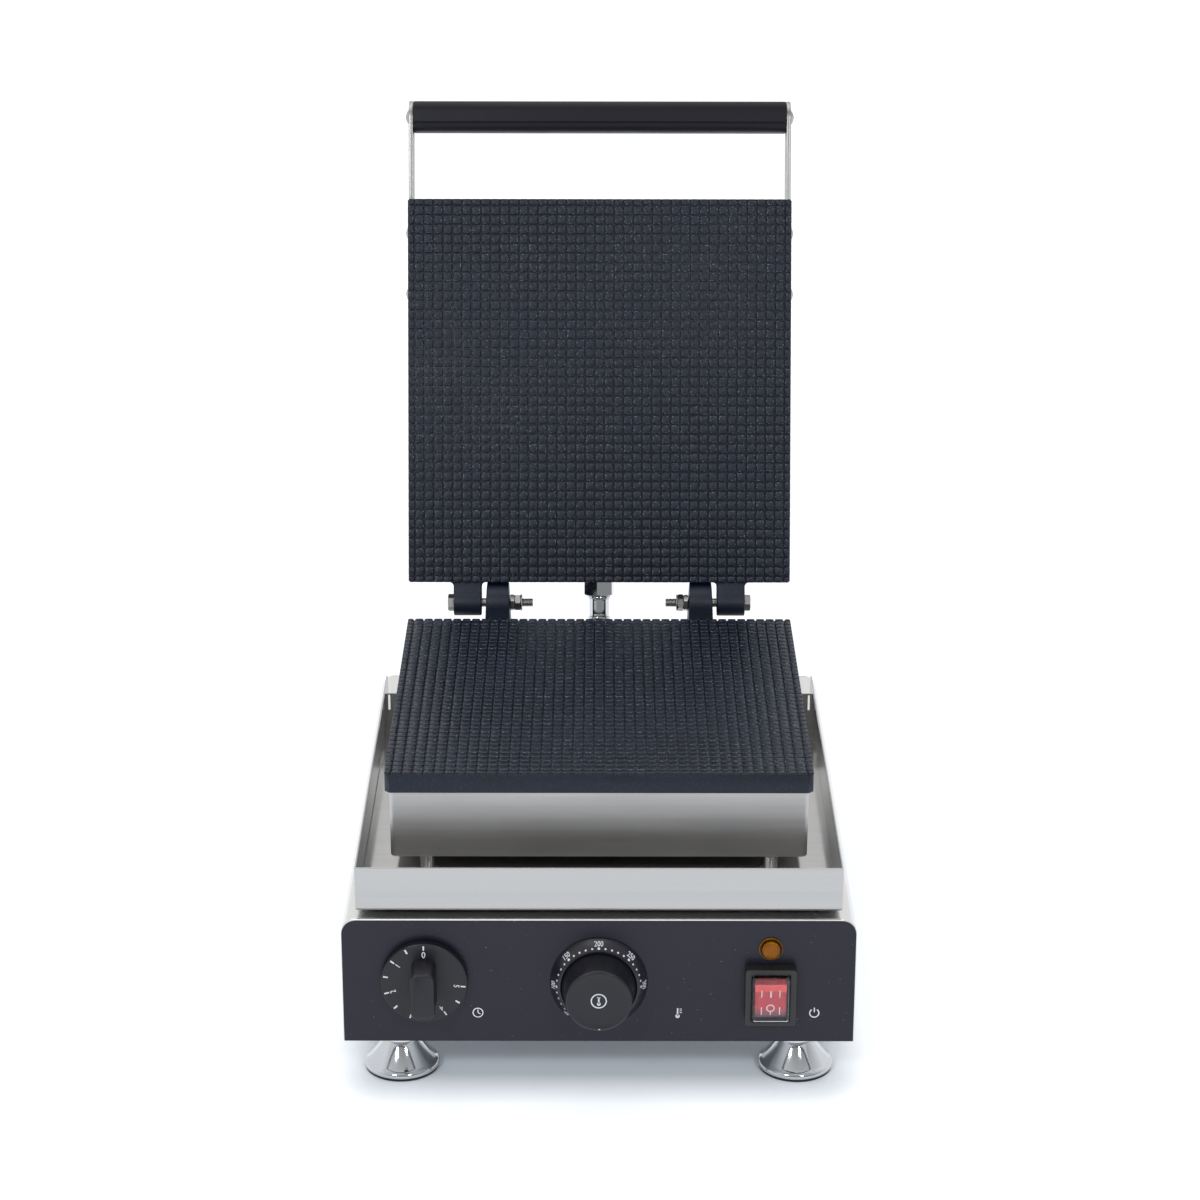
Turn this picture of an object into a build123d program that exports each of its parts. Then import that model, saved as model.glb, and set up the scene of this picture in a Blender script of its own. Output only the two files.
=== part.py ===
from build123d import *
import os
from math import cos, radians, sin, tan

# Waffle iron for thin syrup waffles: a stainless housing on four feet, a drip tray over it,
# a fixed lower baking plate on legs and an upper baking plate on a hinged lid.
# Millimetres. X is to the right, Y to the rear, Z up from the surface that the feet stand on.
# While the pieces are made, Y is 0 at the front panel's face. They are written out with the
# middle of the whole object at Y 0.

# Housing
HOUSING_WIDTH = 312.0
HOUSING_DEPTH = 396.0
HOUSING_HEIGHT = 81.0
HOUSING_FOLD_RADIUS = 9.0
HOUSING_SHEET = 1.5
PANEL_SHEET = 2.0
PANEL_INSET = 0.6
BASE_FLANGE_HEIGHT = 14.0

# Feet
FOOT_HEIGHT = 32.2
FOOT_PAD_HEIGHT = 2.0
FOOT_RADIUS = 23.5
FOOT_NECK_RADIUS = 10.5
FOOT_RIM_HEIGHT = 1.6
FOOT_FLOOR_CHAMFER = 0.6
FOOT_LIP_WIDTH = 1.7
FOOT_LIP_HEIGHT = 2.2
FOOT_LIP_BULGE = 0.35
FOOT_CONE_HEIGHT = 13.0
FOOT_CONE_TOP_RADIUS = 12.5
FOOT_CONE_HOLLOW = 1.3
FOOT_SHOULDER_HEIGHT = 3.5
FOOT_INSET_X = 33.5
FOOT_INSET_Y = 33.0
FOOT_STUD_RADIUS = 4.0
FOOT_STUD_LENGTH = 13.0
FOOT_NUT_FLATS = 13.0
FOOT_NUT_HEIGHT = 6.5

# Drip tray
TRAY_SHEET = 1.2
TRAY_WIDTH = 294.0
TRAY_FRONT_Y = 5.8
TRAY_DEPTH = 277.2
TRAY_WING_LENGTH = 31.0
TRAY_WALL_HEIGHT = 28.8
TRAY_LOW_WALL_HEIGHT = 14.0
TRAY_EAR_WIDTH = 13.0
TRAY_BEND_RADIUS = 2.5
TRAY_SLOT_WIDTH = 1.4
TRAY_SLOT_HEIGHT = 11.0
TRAY_SLOT_INSET = 4.0
BUFFER_HEIGHT = 4.0
BUFFER_RADIUS = 6.0
BUFFER_INSET = 20.0

# Legs and duct between the housing and the lower casing
LEG_LENGTH = 21.8
LEG_RADIUS = 4.5
LEG_SPACING_X = 212.0
LEG_FRONT_Y = 64.0
LEG_SPACING_Y = 209.0
LEG_CLEARANCE = 1.5
STUD_RADIUS = 2.5
STUD_BELOW = 10.0
LEG_NUT_FLATS = 8.0
LEG_NUT_HEIGHT = 4.0
DUCT_END_PROUD = 4.0
DUCT_RADIUS = 11.0
DUCT_BORE_RADIUS = 9.0

# Baking plates and their casings
PLATE_SIZE = 260.0
PLATE_THICKNESS = 13.4
PLATE_FRONT_Y = 38.5
PLATE_CORNER_RADIUS = 3.0
PLATE_EDGE_RADIUS = 0.8
FACE_GAP = 0.5
GROOVE_PITCH = 6.44
GROOVE_WIDTH = 1.2
GROOVE_DEPTH = 1.3
CASING_WIDTH = 255.0
CASING_LENGTH = 254.0
CASING_HEIGHT = 45.8
CASING_SHEET = 1.2
CASING_CORNER_RADIUS = 3.0
CASING_BEND_RADIUS = 2.0

# Heating elements, clamps and insulation, the same in both casings
HEATER_RADIUS = 4.0
HEATER_RUNS = 4
HEATER_RUN_PITCH = 50.0
HEATER_RUN_LENGTH = 190.0
CLAMP_SHEET = 2.0
CLAMP_WIDTH = 196.0
CLAMP_LENGTH = 216.0
CLAMP_SCREW_INSET = 10.0
CLAMP_SCREW_HEAD_RADIUS = 4.5
CLAMP_SCREW_HEAD_HEIGHT = 3.0
CLAMP_SCREW_DEPTH = 6.0
INSULATION_GAP = 4.0
INSULATION_SIDE_GAP = 3.0
INSULATION_HOLE_GAP = 1.0

# Hinge
HINGE_BEHIND_PLATE = 14.1
HINGE_ABOVE_FACE = 6.4
LID_OPEN_ANGLE = 107.1
UPPER_LUG_X = 89.8
UPPER_LUG_WIDTH = 19.0
UPPER_LUG_RADIUS = 8.9
LOWER_LUG_X = 69.2
LOWER_LUG_FOOT_WIDTH = 18.0
LOWER_LUG_TOP_WIDTH = 14.4
LOWER_LUG_RADIUS = 12.6
LOWER_LUG_SLOPE = 5.0
LUG_FILLET = 3.0
STOP_CLEARANCE = 0.3
STOP_LENGTH = 6.0
BOLT_RADIUS = 3.0
BOLT_LENGTH = 54.0
BOLT_HEAD_FLATS = 10.0
BOLT_HEAD_HEIGHT = 4.0
BOLT_HEAD_TURN = 20.0
HINGE_NUT_HEIGHTS = (3.2, 5.0)
HINGE_NUT_TURN = 14.0

# Clearances, and how far a cutting body reaches past the face that it cuts
RUNNING_CLEARANCE = 0.05
FIT_CLEARANCE = 0.03
FREE_CLEARANCE = 0.3
OVERCUT = 1.0

# Handle
ARM_THICKNESS = 3.0
ARM_WIDTH = 22.0
ARM_ABOVE_FACE = 31.5
ARM_INSIDE_LENGTH = 76.0
HANDLE_REACH = 57.5
HANDLE_HEIGHT = 21.0
HANDLE_DEPTH = 25.0
HANDLE_CORNER_RADIUS = 7.0
HANDLE_GROOVE = 0.8
HANDLE_GROOVE_HEIGHT = 2.94
ARM_SCREW_FIRST = 21.6
ARM_SCREW_SPACING = 41.7
DOME_HEAD_RADIUS = 5.5
DOME_HEAD_HEIGHT = 2.5
CASING_SCREW_EDGE_RADIUS = 1.5
HANDLE_SCREW_LENGTH = 22.0
ARM_SCREW_LENGTH = 8.0

# Conduit
CONDUIT_RADIUS = 6.2
CONDUIT_BORE_RADIUS = 4.6
CONDUIT_ABOVE_FACE = 33.0
GLAND_NUT_FLATS = 19.0
GLAND_NUT_LENGTH = 14.0
GLAND_NUT_TURN = 8.0
FERRULE_RADIUS = 6.9
FERRULE_LENGTH = 16.0
FERRULE_RING_HEIGHT = 2.2
FERRULE_RING_PROUD = 0.9
GLAND_STEM_RADIUS = 7.5
GLAND_STEM_LENGTH = 12.0
BUSH_Y = 322.0
BUSH_RADIUS = 13.0
BUSH_HEIGHT = 9.0
BUSH_FLANGE_HEIGHT = 2.5
BUSH_WALL = 3.0
BUSH_EDGE_RADIUS = 2.0
BUSH_CLEARANCE = 0.6
CONDUIT_RESERVE = 45.0
CONDUIT_BEND_SHARE = 0.45

# Timer
TIMER_FROM_SIDE = 50.4
TIMER_ABOVE_BASE = 42.8
TIMER_SKIRT_RADIUS = 26.3
TIMER_SKIRT_FRONT = 6.7
TIMER_GRIP_WIDTH = 14.2
TIMER_GRIP_LENGTH = 28.4
TIMER_GRIP_HEIGHT = 17.8
TIMER_GRIP_TAPER = 3.0
TIMER_GRIP_CORNER_RADIUS = 4.0
TIMER_GRIP_EDGE_RADIUS = 1.3
TIMER_SKIRT_EDGE_RADIUS = 1.4
TIMER_BODY_WIDTH = 44.0
TIMER_BODY_HEIGHT = 40.0
TIMER_BODY_DEPTH = 30.0
TIMER_BODY_CORNER_RADIUS = 3.0

# Thermostat
THERMOSTAT_X = 0.0
THERMOSTAT_ABOVE_BASE = 40.8
DIAL_RADIUS = 29.6
DIAL_INNER_RADIUS = 22.9
DIAL_HEIGHT = 8.0
DIAL_RIM = 1.4
DIAL_INNER_RIM = 1.6
THERMOSTAT_KNOB_RADIUS = 22.4
THERMOSTAT_KNOB_FACE_RADIUS = 20.0
THERMOSTAT_KNOB_FRONT = 26.0
THERMOSTAT_KNOB_EDGE_RADIUS = 1.6
THERMOSTAT_KNOB_RIM_WIDTH = 1.2
THERMOSTAT_KNOB_DISH = 0.8
THERMOSTAT_BODY_RADIUS = 21.0
THERMOSTAT_BODY_DEPTH = 27.0
BULB_RADIUS = 3.0
BULB_LENGTH = 90.0
BULB_FROM_DUCT = 6.0
CAPILLARY_RADIUS = 1.0
CAPILLARY_GAP = 1.5

# Shafts of both knobs
SHAFT_RADIUS = 3.0
BUSHING_RADIUS = 5.0
KNOB_GAP = 0.8
SHAFT_DEPTH = 14.0
BORE_END_GAP = 0.5
KNOB_WALL = 2.0
KNOB_BOSS_WALL = 3.0

# Pilot lamp
LAMP_FROM_SIDE = 52.0
LAMP_ABOVE_BASE = 63.3
LAMP_FLANGE_RADIUS = 7.2
LAMP_FLANGE_THICKNESS = 1.8
LAMP_BOSS_RADIUS = 5.3
LAMP_BOSS_HEIGHT = 2.4
LAMP_BODY_RADIUS = 5.6
LAMP_BODY_DEPTH = 22.0
LAMP_FLANGE_EDGE_RADIUS = 0.7
LAMP_BOSS_EDGE_RADIUS = 1.68
LAMP_NUT_FLATS = 14.2
LAMP_NUT_HEIGHT = 3.0

# Power switch
SWITCH_FROM_SIDE = 52.0
SWITCH_ABOVE_BASE = 34.0
SWITCH_FRAME_WIDTH = 31.0
SWITCH_FRAME_HEIGHT = 37.5
SWITCH_FRAME_FRONT = 8.7
SWITCH_BODY_WIDTH = 27.0
SWITCH_BODY_HEIGHT = 33.0
SWITCH_BODY_DEPTH = 20.0
SWITCH_CORNER_RADIUS = 2.0
SWITCH_EDGE_RADIUS = 0.8
SWITCH_WELL_GAP = 1.2
SWITCH_TAB_WIDTH = 6.2
SWITCH_TAB_THICKNESS = 0.8
SWITCH_TAB_LENGTH = 8.0
HOOD_WIDTH = 23.8
HOOD_HEIGHT = 30.8
HOOD_PROUD = 3.7
HOOD_WALL = 1.0
HOOD_REBATE = 4.0
HOOD_EDGE_RADIUS = 1.2
ROCKER_WIDTH = 18.8
ROCKER_PIVOT_FRONT = 2.0
ROCKER_TILT = 10.0
ROCKER_HALF_HEIGHT = 13.05
ROCKER_CREST = 6.62
ROCKER_VALLEY = 5.2
ROCKER_BACK = 3.5
ROCKER_END_BULGE = 0.35
ROCKER_END_WIDEST = 2.5
ROCKER_END_TAPER = 2.5
PIVOT_RADIUS = 1.5
PIVOT_LENGTH = 1.2

# Mains inlet and terminals
MAINS_GLAND_FROM_SIDE = 36.0
MAINS_GLAND_ABOVE_BASE = 27.8
MAINS_GLAND_FLATS = 22.0
MAINS_GLAND_BORE = 4.2
MAINS_GLAND_STEM_RADIUS = 8.0
MAINS_GLAND_LENGTH = 34.0
MAINS_GLAND_OUTSIDE = 20.0
MAINS_GLAND_FLANGE = 5.0
MAINS_GLAND_CAP_GAP = 2.0
MAINS_GLAND_COLLAR = 4.0
MAINS_GLAND_NUT = 4.0
MAINS_GLAND_LIP = 2.0
TERMINAL_FROM_REAR = 70.0
TERMINAL_FROM_GLAND = 60.0
TERMINAL_WIDTH = 52.0
TERMINAL_DEPTH = 22.0
TERMINAL_HEIGHT = 20.0
TERMINAL_POLES = 4
TERMINAL_SCREW_RADIUS = 2.0

# Small screws of the housing, and its vents
SCREW_RADIUS = 1.9
SCREW_HEAD_RADIUS = 3.4
SCREW_HEAD_HEIGHT = 1.6
SCREW_LENGTH = 7.0
SCREW_INSET = 40.0
VENT_WIDTH = 4.0
VENT_LENGTH = 40.0
VENT_PITCH = 12.0
VENT_COUNT = 7

# Heights
HOUSING_BOTTOM = FOOT_PAD_HEIGHT + FOOT_HEIGHT
HOUSING_TOP = HOUSING_BOTTOM + HOUSING_HEIGHT
TRAY_BOTTOM = HOUSING_TOP + BUFFER_HEIGHT
CASING_BOTTOM = HOUSING_TOP + LEG_LENGTH
PLATE_BOTTOM = CASING_BOTTOM + CASING_HEIGHT
PLATE_TOP = PLATE_BOTTOM + PLATE_THICKNESS
UPPER_FACE = PLATE_TOP + FACE_GAP
UPPER_BACK = UPPER_FACE + PLATE_THICKNESS
FACE_MIDDLE = PLATE_TOP + FACE_GAP / 2
UPPER_CASING_TOP = UPPER_BACK + CASING_HEIGHT
CONDUIT_Z = UPPER_FACE + CONDUIT_ABOVE_FACE
CLAMP_BOTTOM = PLATE_BOTTOM - 2 * HEATER_RADIUS - CLAMP_SHEET

# Places of the controls on the panel, and of the mains gland
TIMER_X = TIMER_FROM_SIDE - HOUSING_WIDTH / 2
TIMER_Z = HOUSING_BOTTOM + TIMER_ABOVE_BASE
THERMOSTAT_Z = HOUSING_BOTTOM + THERMOSTAT_ABOVE_BASE
LAMP_X = HOUSING_WIDTH / 2 - LAMP_FROM_SIDE
LAMP_Z = HOUSING_BOTTOM + LAMP_ABOVE_BASE
SWITCH_X = HOUSING_WIDTH / 2 - SWITCH_FROM_SIDE
SWITCH_Z = HOUSING_BOTTOM + SWITCH_ABOVE_BASE
MAINS_GLAND_X = HOUSING_WIDTH / 2 - MAINS_GLAND_FROM_SIDE
MAINS_GLAND_Z = HOUSING_BOTTOM + MAINS_GLAND_ABOVE_BASE

# Round parts that others are cut for
BUSH_BODY_RADIUS = CONDUIT_RADIUS + BUSH_CLEARANCE + BUSH_WALL

# Places from front to rear
PLATE_REAR_Y = PLATE_FRONT_Y + PLATE_SIZE
PLATE_MIDDLE_Y = PLATE_FRONT_Y + PLATE_SIZE / 2
CASING_FRONT_Y = PLATE_MIDDLE_Y - CASING_LENGTH / 2
CASING_REAR_Y = PLATE_MIDDLE_Y + CASING_LENGTH / 2
HINGE_Y = PLATE_REAR_Y + HINGE_BEHIND_PLATE
HINGE_Z = PLATE_TOP + HINGE_ABOVE_FACE
HANDLE_Y = PLATE_FRONT_Y - HANDLE_REACH
HANDLE_Z = UPPER_FACE + ARM_ABOVE_FACE
LEG_PLACES = [
    (side * LEG_SPACING_X / 2, LEG_FRONT_Y + row * LEG_SPACING_Y)
    for side in (-1, 1)
    for row in (0, 1)
]
FOOT_PLACES = {
    "foot_front_left": (FOOT_INSET_X - HOUSING_WIDTH / 2, FOOT_INSET_Y),
    "foot_front_right": (HOUSING_WIDTH / 2 - FOOT_INSET_X, FOOT_INSET_Y),
    "foot_rear_left": (FOOT_INSET_X - HOUSING_WIDTH / 2, HOUSING_DEPTH - FOOT_INSET_Y),
    "foot_rear_right": (HOUSING_WIDTH / 2 - FOOT_INSET_X, HOUSING_DEPTH - FOOT_INSET_Y),
}


def turned_about_hinge(y, z):
    """A point of the closed lid, where the open lid has it."""
    angle = radians(LID_OPEN_ANGLE)
    dy = y - HINGE_Y
    dz = z - HINGE_Z
    return HINGE_Y + dy * cos(angle) + dz * sin(angle), HINGE_Z - dy * sin(angle) + dz * cos(angle)


# The open lid's handle or casing reaches furthest to the rear, and the thermostat knob to the front.
HANDLE_SPREAD = (
    HANDLE_CORNER_RADIUS
    + (HANDLE_HEIGHT / 2 - HANDLE_CORNER_RADIUS) * abs(cos(radians(LID_OPEN_ANGLE)))
    + (HANDLE_DEPTH / 2 - HANDLE_CORNER_RADIUS) * sin(radians(LID_OPEN_ANGLE))
)
REAR_REACH = max(
    turned_about_hinge(HANDLE_Y, HANDLE_Z)[0] + HANDLE_SPREAD,
    turned_about_hinge(CASING_FRONT_Y, UPPER_CASING_TOP)[0],
    HOUSING_DEPTH + MAINS_GLAND_OUTSIDE,
)
CENTRE_Y = (REAR_REACH - THERMOSTAT_KNOB_FRONT) / 2


def block(x, y, z):
    """A box between three pairs of limits."""
    centre = [(low + high) / 2 for low, high in (x, y, z)]
    size = [high - low for low, high in (x, y, z)]
    return Pos(*centre) * Box(*size)


def rod(radius, start, end):
    """A round bar from one point to another."""
    run = Vector(*end) - Vector(*start)
    seat = Plane(origin=start, z_dir=run.normalized())
    return seat * peg(radius, run.length)


def upright(radius, place, low, high):
    """A round bar along Z at an x and y place."""
    return rod(radius, (*place, low), (*place, high))


def tube(radius, bore, start, end):
    """A round bar with a bore right through it."""
    return rod(radius, start, end) - rod(bore, start, end)


def peg(radius, height):
    """A round bar that stands on the XY plane."""
    return Cylinder(radius, height, align=(Align.CENTER, Align.CENTER, Align.MIN))


def hexagon(flats, start, end, turn=0.0):
    """A hexagonal bar, by its width over the flats."""
    run = Vector(*end) - Vector(*start)
    seat = Plane(origin=start, z_dir=run.normalized())
    outline = seat * (Rot(0, 0, turn) * RegularPolygon(flats / 2, 6, major_radius=False))
    return extrude(outline, run.length)


def turned_profile(points, axis_at):
    """A body of revolution about an upright axis, from radius and height pairs."""
    outline = Polyline(*[(radius, 0, height) for radius, height in points], close=True)
    return Pos(*axis_at) * revolve(make_face(outline), Axis.Z)


def facing_front(solid, x, z):
    """A body made along +Z, turned to stand out of the panel's face at x and z."""
    return Pos(x, 0, z) * Rot(90, 0, 0) * solid


def dome_head(radius, height, at, side):
    """A domed screw head whose flat side lies at a point and that stands out along X."""
    ball = (radius**2 + height**2) / (2 * height)
    dome = Pos(0, 0, height - ball) * Sphere(ball)
    dome &= peg(radius, height)
    return Pos(*at) * Rot(0, 90 * side, 0) * dome


def open_lid(solid):
    """A body of the closed lid, turned to the open lid's place."""
    hinge = Axis((0, HINGE_Y, HINGE_Z), (1, 0, 0))
    return solid.rotate(hinge, -LID_OPEN_ANGLE)


# Housing

def housing_outline(width, height, radius, inset=0.0):
    """The housing's section, seen from the front: square below, rounded above."""
    low = HOUSING_BOTTOM
    outline = Plane.XZ * (Pos(0, low + height / 2) * Rectangle(width - 2 * inset, height))
    corners = outline.vertices().sort_by(Axis.Z)[-2:]
    return fillet(corners, radius)


def make_housing_cover():
    depth = HOUSING_DEPTH - 2 * PANEL_SHEET
    outer = extrude(housing_outline(HOUSING_WIDTH, HOUSING_HEIGHT, HOUSING_FOLD_RADIUS), -depth)
    inner = extrude(
        housing_outline(
            HOUSING_WIDTH - 2 * HOUSING_SHEET,
            HOUSING_HEIGHT - HOUSING_SHEET,
            HOUSING_FOLD_RADIUS - HOUSING_SHEET,
        ),
        -depth,
    )
    cover = Pos(0, PANEL_SHEET, 0) * (outer - inner)
    holes = [(STUD_RADIUS, place) for place in LEG_PLACES]
    holes += [(DUCT_RADIUS, (0, PLATE_MIDDLE_Y)), (BUSH_BODY_RADIUS, (0, BUSH_Y))]
    for radius, place in holes:
        cover -= upright(radius + FIT_CLEARANCE, place, HOUSING_BOTTOM, HOUSING_TOP + OVERCUT)
    for x, y, z, side in screw_places():
        inside = x - side * SCREW_LENGTH
        cover -= rod(SCREW_RADIUS + FIT_CLEARANCE, (inside, y, z), (x + side * OVERCUT, y, z))
    return cover


def screw_places():
    """Places of the housing's side screws: x, y and z of the wall's face, and the side."""
    height = HOUSING_BOTTOM + BASE_FLANGE_HEIGHT / 2
    rows = (SCREW_INSET, HOUSING_DEPTH / 2, HOUSING_DEPTH - SCREW_INSET)
    return [(side * HOUSING_WIDTH / 2, y, height, side) for side in (-1, 1) for y in rows]


def make_housing_screws():
    screws = []
    for x, y, z, side in screw_places():
        shank = rod(SCREW_RADIUS, (x, y, z), (x - side * SCREW_LENGTH, y, z))
        screws.append(shank + dome_head(SCREW_HEAD_RADIUS, SCREW_HEAD_HEIGHT, (x, y, z), side))
    return screws


def make_front_panel():
    outline = housing_outline(HOUSING_WIDTH, HOUSING_HEIGHT, HOUSING_FOLD_RADIUS, PANEL_INSET)
    panel = extrude(outline, -PANEL_SHEET)
    low = -OVERCUT
    high = PANEL_SHEET + OVERCUT
    holes = [
        (BUSHING_RADIUS, TIMER_X, TIMER_Z),
        (BUSHING_RADIUS, THERMOSTAT_X, THERMOSTAT_Z),
        (LAMP_BODY_RADIUS, LAMP_X, LAMP_Z),
    ]
    for radius, x, z in holes:
        panel -= rod(radius + FIT_CLEARANCE, (x, low, z), (x, high, z))
    return panel - around_switch(SWITCH_BODY_WIDTH, SWITCH_BODY_HEIGHT, -low, -high)


def make_rear_panel():
    outline = housing_outline(HOUSING_WIDTH, HOUSING_HEIGHT, HOUSING_FOLD_RADIUS, PANEL_INSET)
    panel = Pos(0, HOUSING_DEPTH - PANEL_SHEET, 0) * extrude(outline, -PANEL_SHEET)
    low = HOUSING_DEPTH - PANEL_SHEET - OVERCUT
    high = HOUSING_DEPTH + OVERCUT
    hole = MAINS_GLAND_STEM_RADIUS + FIT_CLEARANCE
    panel -= rod(hole, (MAINS_GLAND_X, low, MAINS_GLAND_Z), (MAINS_GLAND_X, high, MAINS_GLAND_Z))
    middle = HOUSING_BOTTOM + HOUSING_HEIGHT / 2
    for slot in range(VENT_COUNT):
        x = (slot - (VENT_COUNT - 1) / 2) * VENT_PITCH
        panel -= block(
            (x - VENT_WIDTH / 2, x + VENT_WIDTH / 2),
            (low, high),
            (middle - VENT_LENGTH / 2, middle + VENT_LENGTH / 2),
        )
    return panel


def make_base_plate():
    half = HOUSING_WIDTH / 2 - HOUSING_SHEET
    front = PANEL_SHEET
    rear = HOUSING_DEPTH - PANEL_SHEET
    floor_top = HOUSING_BOTTOM + HOUSING_SHEET
    plate = block((-half, half), (front, rear), (HOUSING_BOTTOM, HOUSING_BOTTOM + BASE_FLANGE_HEIGHT))
    plate -= block(
        (HOUSING_SHEET - half, half - HOUSING_SHEET),
        (front - OVERCUT, rear + OVERCUT),
        (floor_top, HOUSING_BOTTOM + BASE_FLANGE_HEIGHT + OVERCUT),
    )
    low = HOUSING_BOTTOM - OVERCUT
    high = floor_top + OVERCUT
    for place in FOOT_PLACES.values():
        plate -= upright(FOOT_STUD_RADIUS + FIT_CLEARANCE, place, low, high)
    for x, y, z, side in screw_places():
        inside = x - side * (SCREW_LENGTH + OVERCUT)
        plate -= rod(SCREW_RADIUS + FIT_CLEARANCE, (x, y, z), (inside, y, z))
    for row in range(VENT_COUNT):
        y = HOUSING_DEPTH / 2 + (row - (VENT_COUNT - 1) / 2) * VENT_PITCH
        for side in (-1, 1):
            x = side * VENT_LENGTH
            plate -= block(
                (x - VENT_LENGTH / 2, x + VENT_LENGTH / 2),
                (y - VENT_WIDTH / 2, y + VENT_WIDTH / 2),
                (low, high),
            )
    return plate


# Feet

def make_foot(x, y):
    """A bell: a rim, a slightly hollow cone and a round neck, with a stud on top."""
    low = FOOT_PAD_HEIGHT
    rim = (FOOT_RADIUS, low + FOOT_RIM_HEIGHT)
    lip = (rim[0] - FOOT_LIP_WIDTH, rim[1] + FOOT_LIP_HEIGHT)
    lip_bulge = ((rim[0] + lip[0]) / 2 + FOOT_LIP_BULGE / 2, (rim[1] + lip[1]) / 2 + FOOT_LIP_BULGE / 2)
    cone_top = (FOOT_CONE_TOP_RADIUS, rim[1] + FOOT_CONE_HEIGHT)
    cone_middle = ((lip[0] + cone_top[0]) / 2, (lip[1] + cone_top[1]) / 2)
    waist = (cone_middle[0] - FOOT_CONE_HOLLOW / 2, cone_middle[1] - FOOT_CONE_HOLLOW)
    neck = (FOOT_NECK_RADIUS, cone_top[1] + FOOT_SHOULDER_HEIGHT)
    floor_edge = (FOOT_RADIUS - FOOT_FLOOR_CHAMFER, low)
    edges = Line((0, low), floor_edge)
    edges += Line(floor_edge, (FOOT_RADIUS, low + FOOT_FLOOR_CHAMFER))
    edges += Line((FOOT_RADIUS, low + FOOT_FLOOR_CHAMFER), rim)
    edges += ThreePointArc(rim, lip_bulge, lip)
    edges += ThreePointArc(lip, waist, cone_top)
    edges += Line(cone_top, neck)
    edges += Line(neck, (FOOT_NECK_RADIUS, HOUSING_BOTTOM))
    edges += Line((FOOT_NECK_RADIUS, HOUSING_BOTTOM), (0, HOUSING_BOTTOM))
    edges += Line((0, HOUSING_BOTTOM), (0, low))
    bell = Pos(x, y, 0) * revolve(Plane.XZ * make_face(edges), Axis.Z)
    stud = upright(FOOT_STUD_RADIUS, (x, y), HOUSING_BOTTOM - OVERCUT, HOUSING_BOTTOM + FOOT_STUD_LENGTH)
    return bell + stud


def make_foot_pads():
    radius = FOOT_RADIUS - FOOT_FLOOR_CHAMFER
    return [upright(radius, place, 0, FOOT_PAD_HEIGHT) for place in FOOT_PLACES.values()]


def nut_on_stud(flats, height, bore, place, low):
    """A nut on an upright stud, by the height of its underside."""
    nut = hexagon(flats, (*place, low), (*place, low + height))
    return nut - upright(bore + FIT_CLEARANCE, place, low - OVERCUT, low + height + OVERCUT)


def make_foot_nuts():
    low = HOUSING_BOTTOM + HOUSING_SHEET
    places = FOOT_PLACES.values()
    return [nut_on_stud(FOOT_NUT_FLATS, FOOT_NUT_HEIGHT, FOOT_STUD_RADIUS, place, low) for place in places]


# Drip tray

def make_drip_tray():
    half = TRAY_WIDTH / 2
    rear = TRAY_FRONT_Y + TRAY_DEPTH
    wing_end = rear + TRAY_WING_LENGTH
    top = TRAY_BOTTOM + TRAY_WALL_HEIGHT
    shell = block((-half, half), (TRAY_FRONT_Y, wing_end), (TRAY_BOTTOM, top))
    bends = shell.edges().filter_by(Axis.Y).group_by(Axis.Z)[0]
    bends += shell.edges().filter_by(Axis.X).group_by(Axis.Z)[0].sort_by(Axis.Y)[:1]
    shell = fillet(bends, TRAY_BEND_RADIUS)
    inside = block(
        (TRAY_SHEET - half, half - TRAY_SHEET),
        (TRAY_FRONT_Y + TRAY_SHEET, rear - TRAY_SHEET),
        (TRAY_BOTTOM + TRAY_SHEET, top + OVERCUT),
    )
    tray = shell - inside
    tray -= block(
        (TRAY_SHEET - half, half - TRAY_SHEET),
        (rear, wing_end + OVERCUT),
        (TRAY_BOTTOM - OVERCUT, top + OVERCUT),
    )
    through_rear = (rear - TRAY_SHEET - OVERCUT, rear + OVERCUT)
    tray -= block(
        (TRAY_EAR_WIDTH - half, half - TRAY_EAR_WIDTH),
        through_rear,
        (TRAY_BOTTOM + TRAY_LOW_WALL_HEIGHT, top + OVERCUT),
    )
    for side in (-1, 1):
        x = side * (half - TRAY_SLOT_INSET)
        tray -= block(
            (x - TRAY_SLOT_WIDTH / 2, x + TRAY_SLOT_WIDTH / 2),
            through_rear,
            (top - TRAY_SHEET - TRAY_SLOT_HEIGHT, top - TRAY_SHEET),
        )
    holes = [(LEG_RADIUS, place) for place in LEG_PLACES]
    holes.append((DUCT_RADIUS, (0, PLATE_MIDDLE_Y)))
    for radius, place in holes:
        high = TRAY_BOTTOM + TRAY_SHEET + OVERCUT
        tray -= upright(radius + LEG_CLEARANCE, place, TRAY_BOTTOM - OVERCUT, high)
    return tray


def make_tray_buffers():
    x = TRAY_WIDTH / 2 - BUFFER_INSET
    rows = (TRAY_FRONT_Y + BUFFER_INSET, TRAY_FRONT_Y + TRAY_DEPTH - BUFFER_INSET)
    places = [(side * x, y) for side in (-1, 1) for y in rows]
    return [upright(BUFFER_RADIUS, place, HOUSING_TOP, TRAY_BOTTOM) for place in places]


# Legs and duct

def make_support_legs():
    legs = []
    for place in LEG_PLACES:
        leg = upright(LEG_RADIUS, place, HOUSING_TOP, CASING_BOTTOM)
        leg += upright(STUD_RADIUS, place, HOUSING_TOP - STUD_BELOW, PLATE_BOTTOM + CLAMP_SCREW_DEPTH)
        legs.append(leg)
    return legs


def make_leg_nuts():
    low = HOUSING_TOP - HOUSING_SHEET - LEG_NUT_HEIGHT
    return [nut_on_stud(LEG_NUT_FLATS, LEG_NUT_HEIGHT, STUD_RADIUS, place, low) for place in LEG_PLACES]


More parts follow.
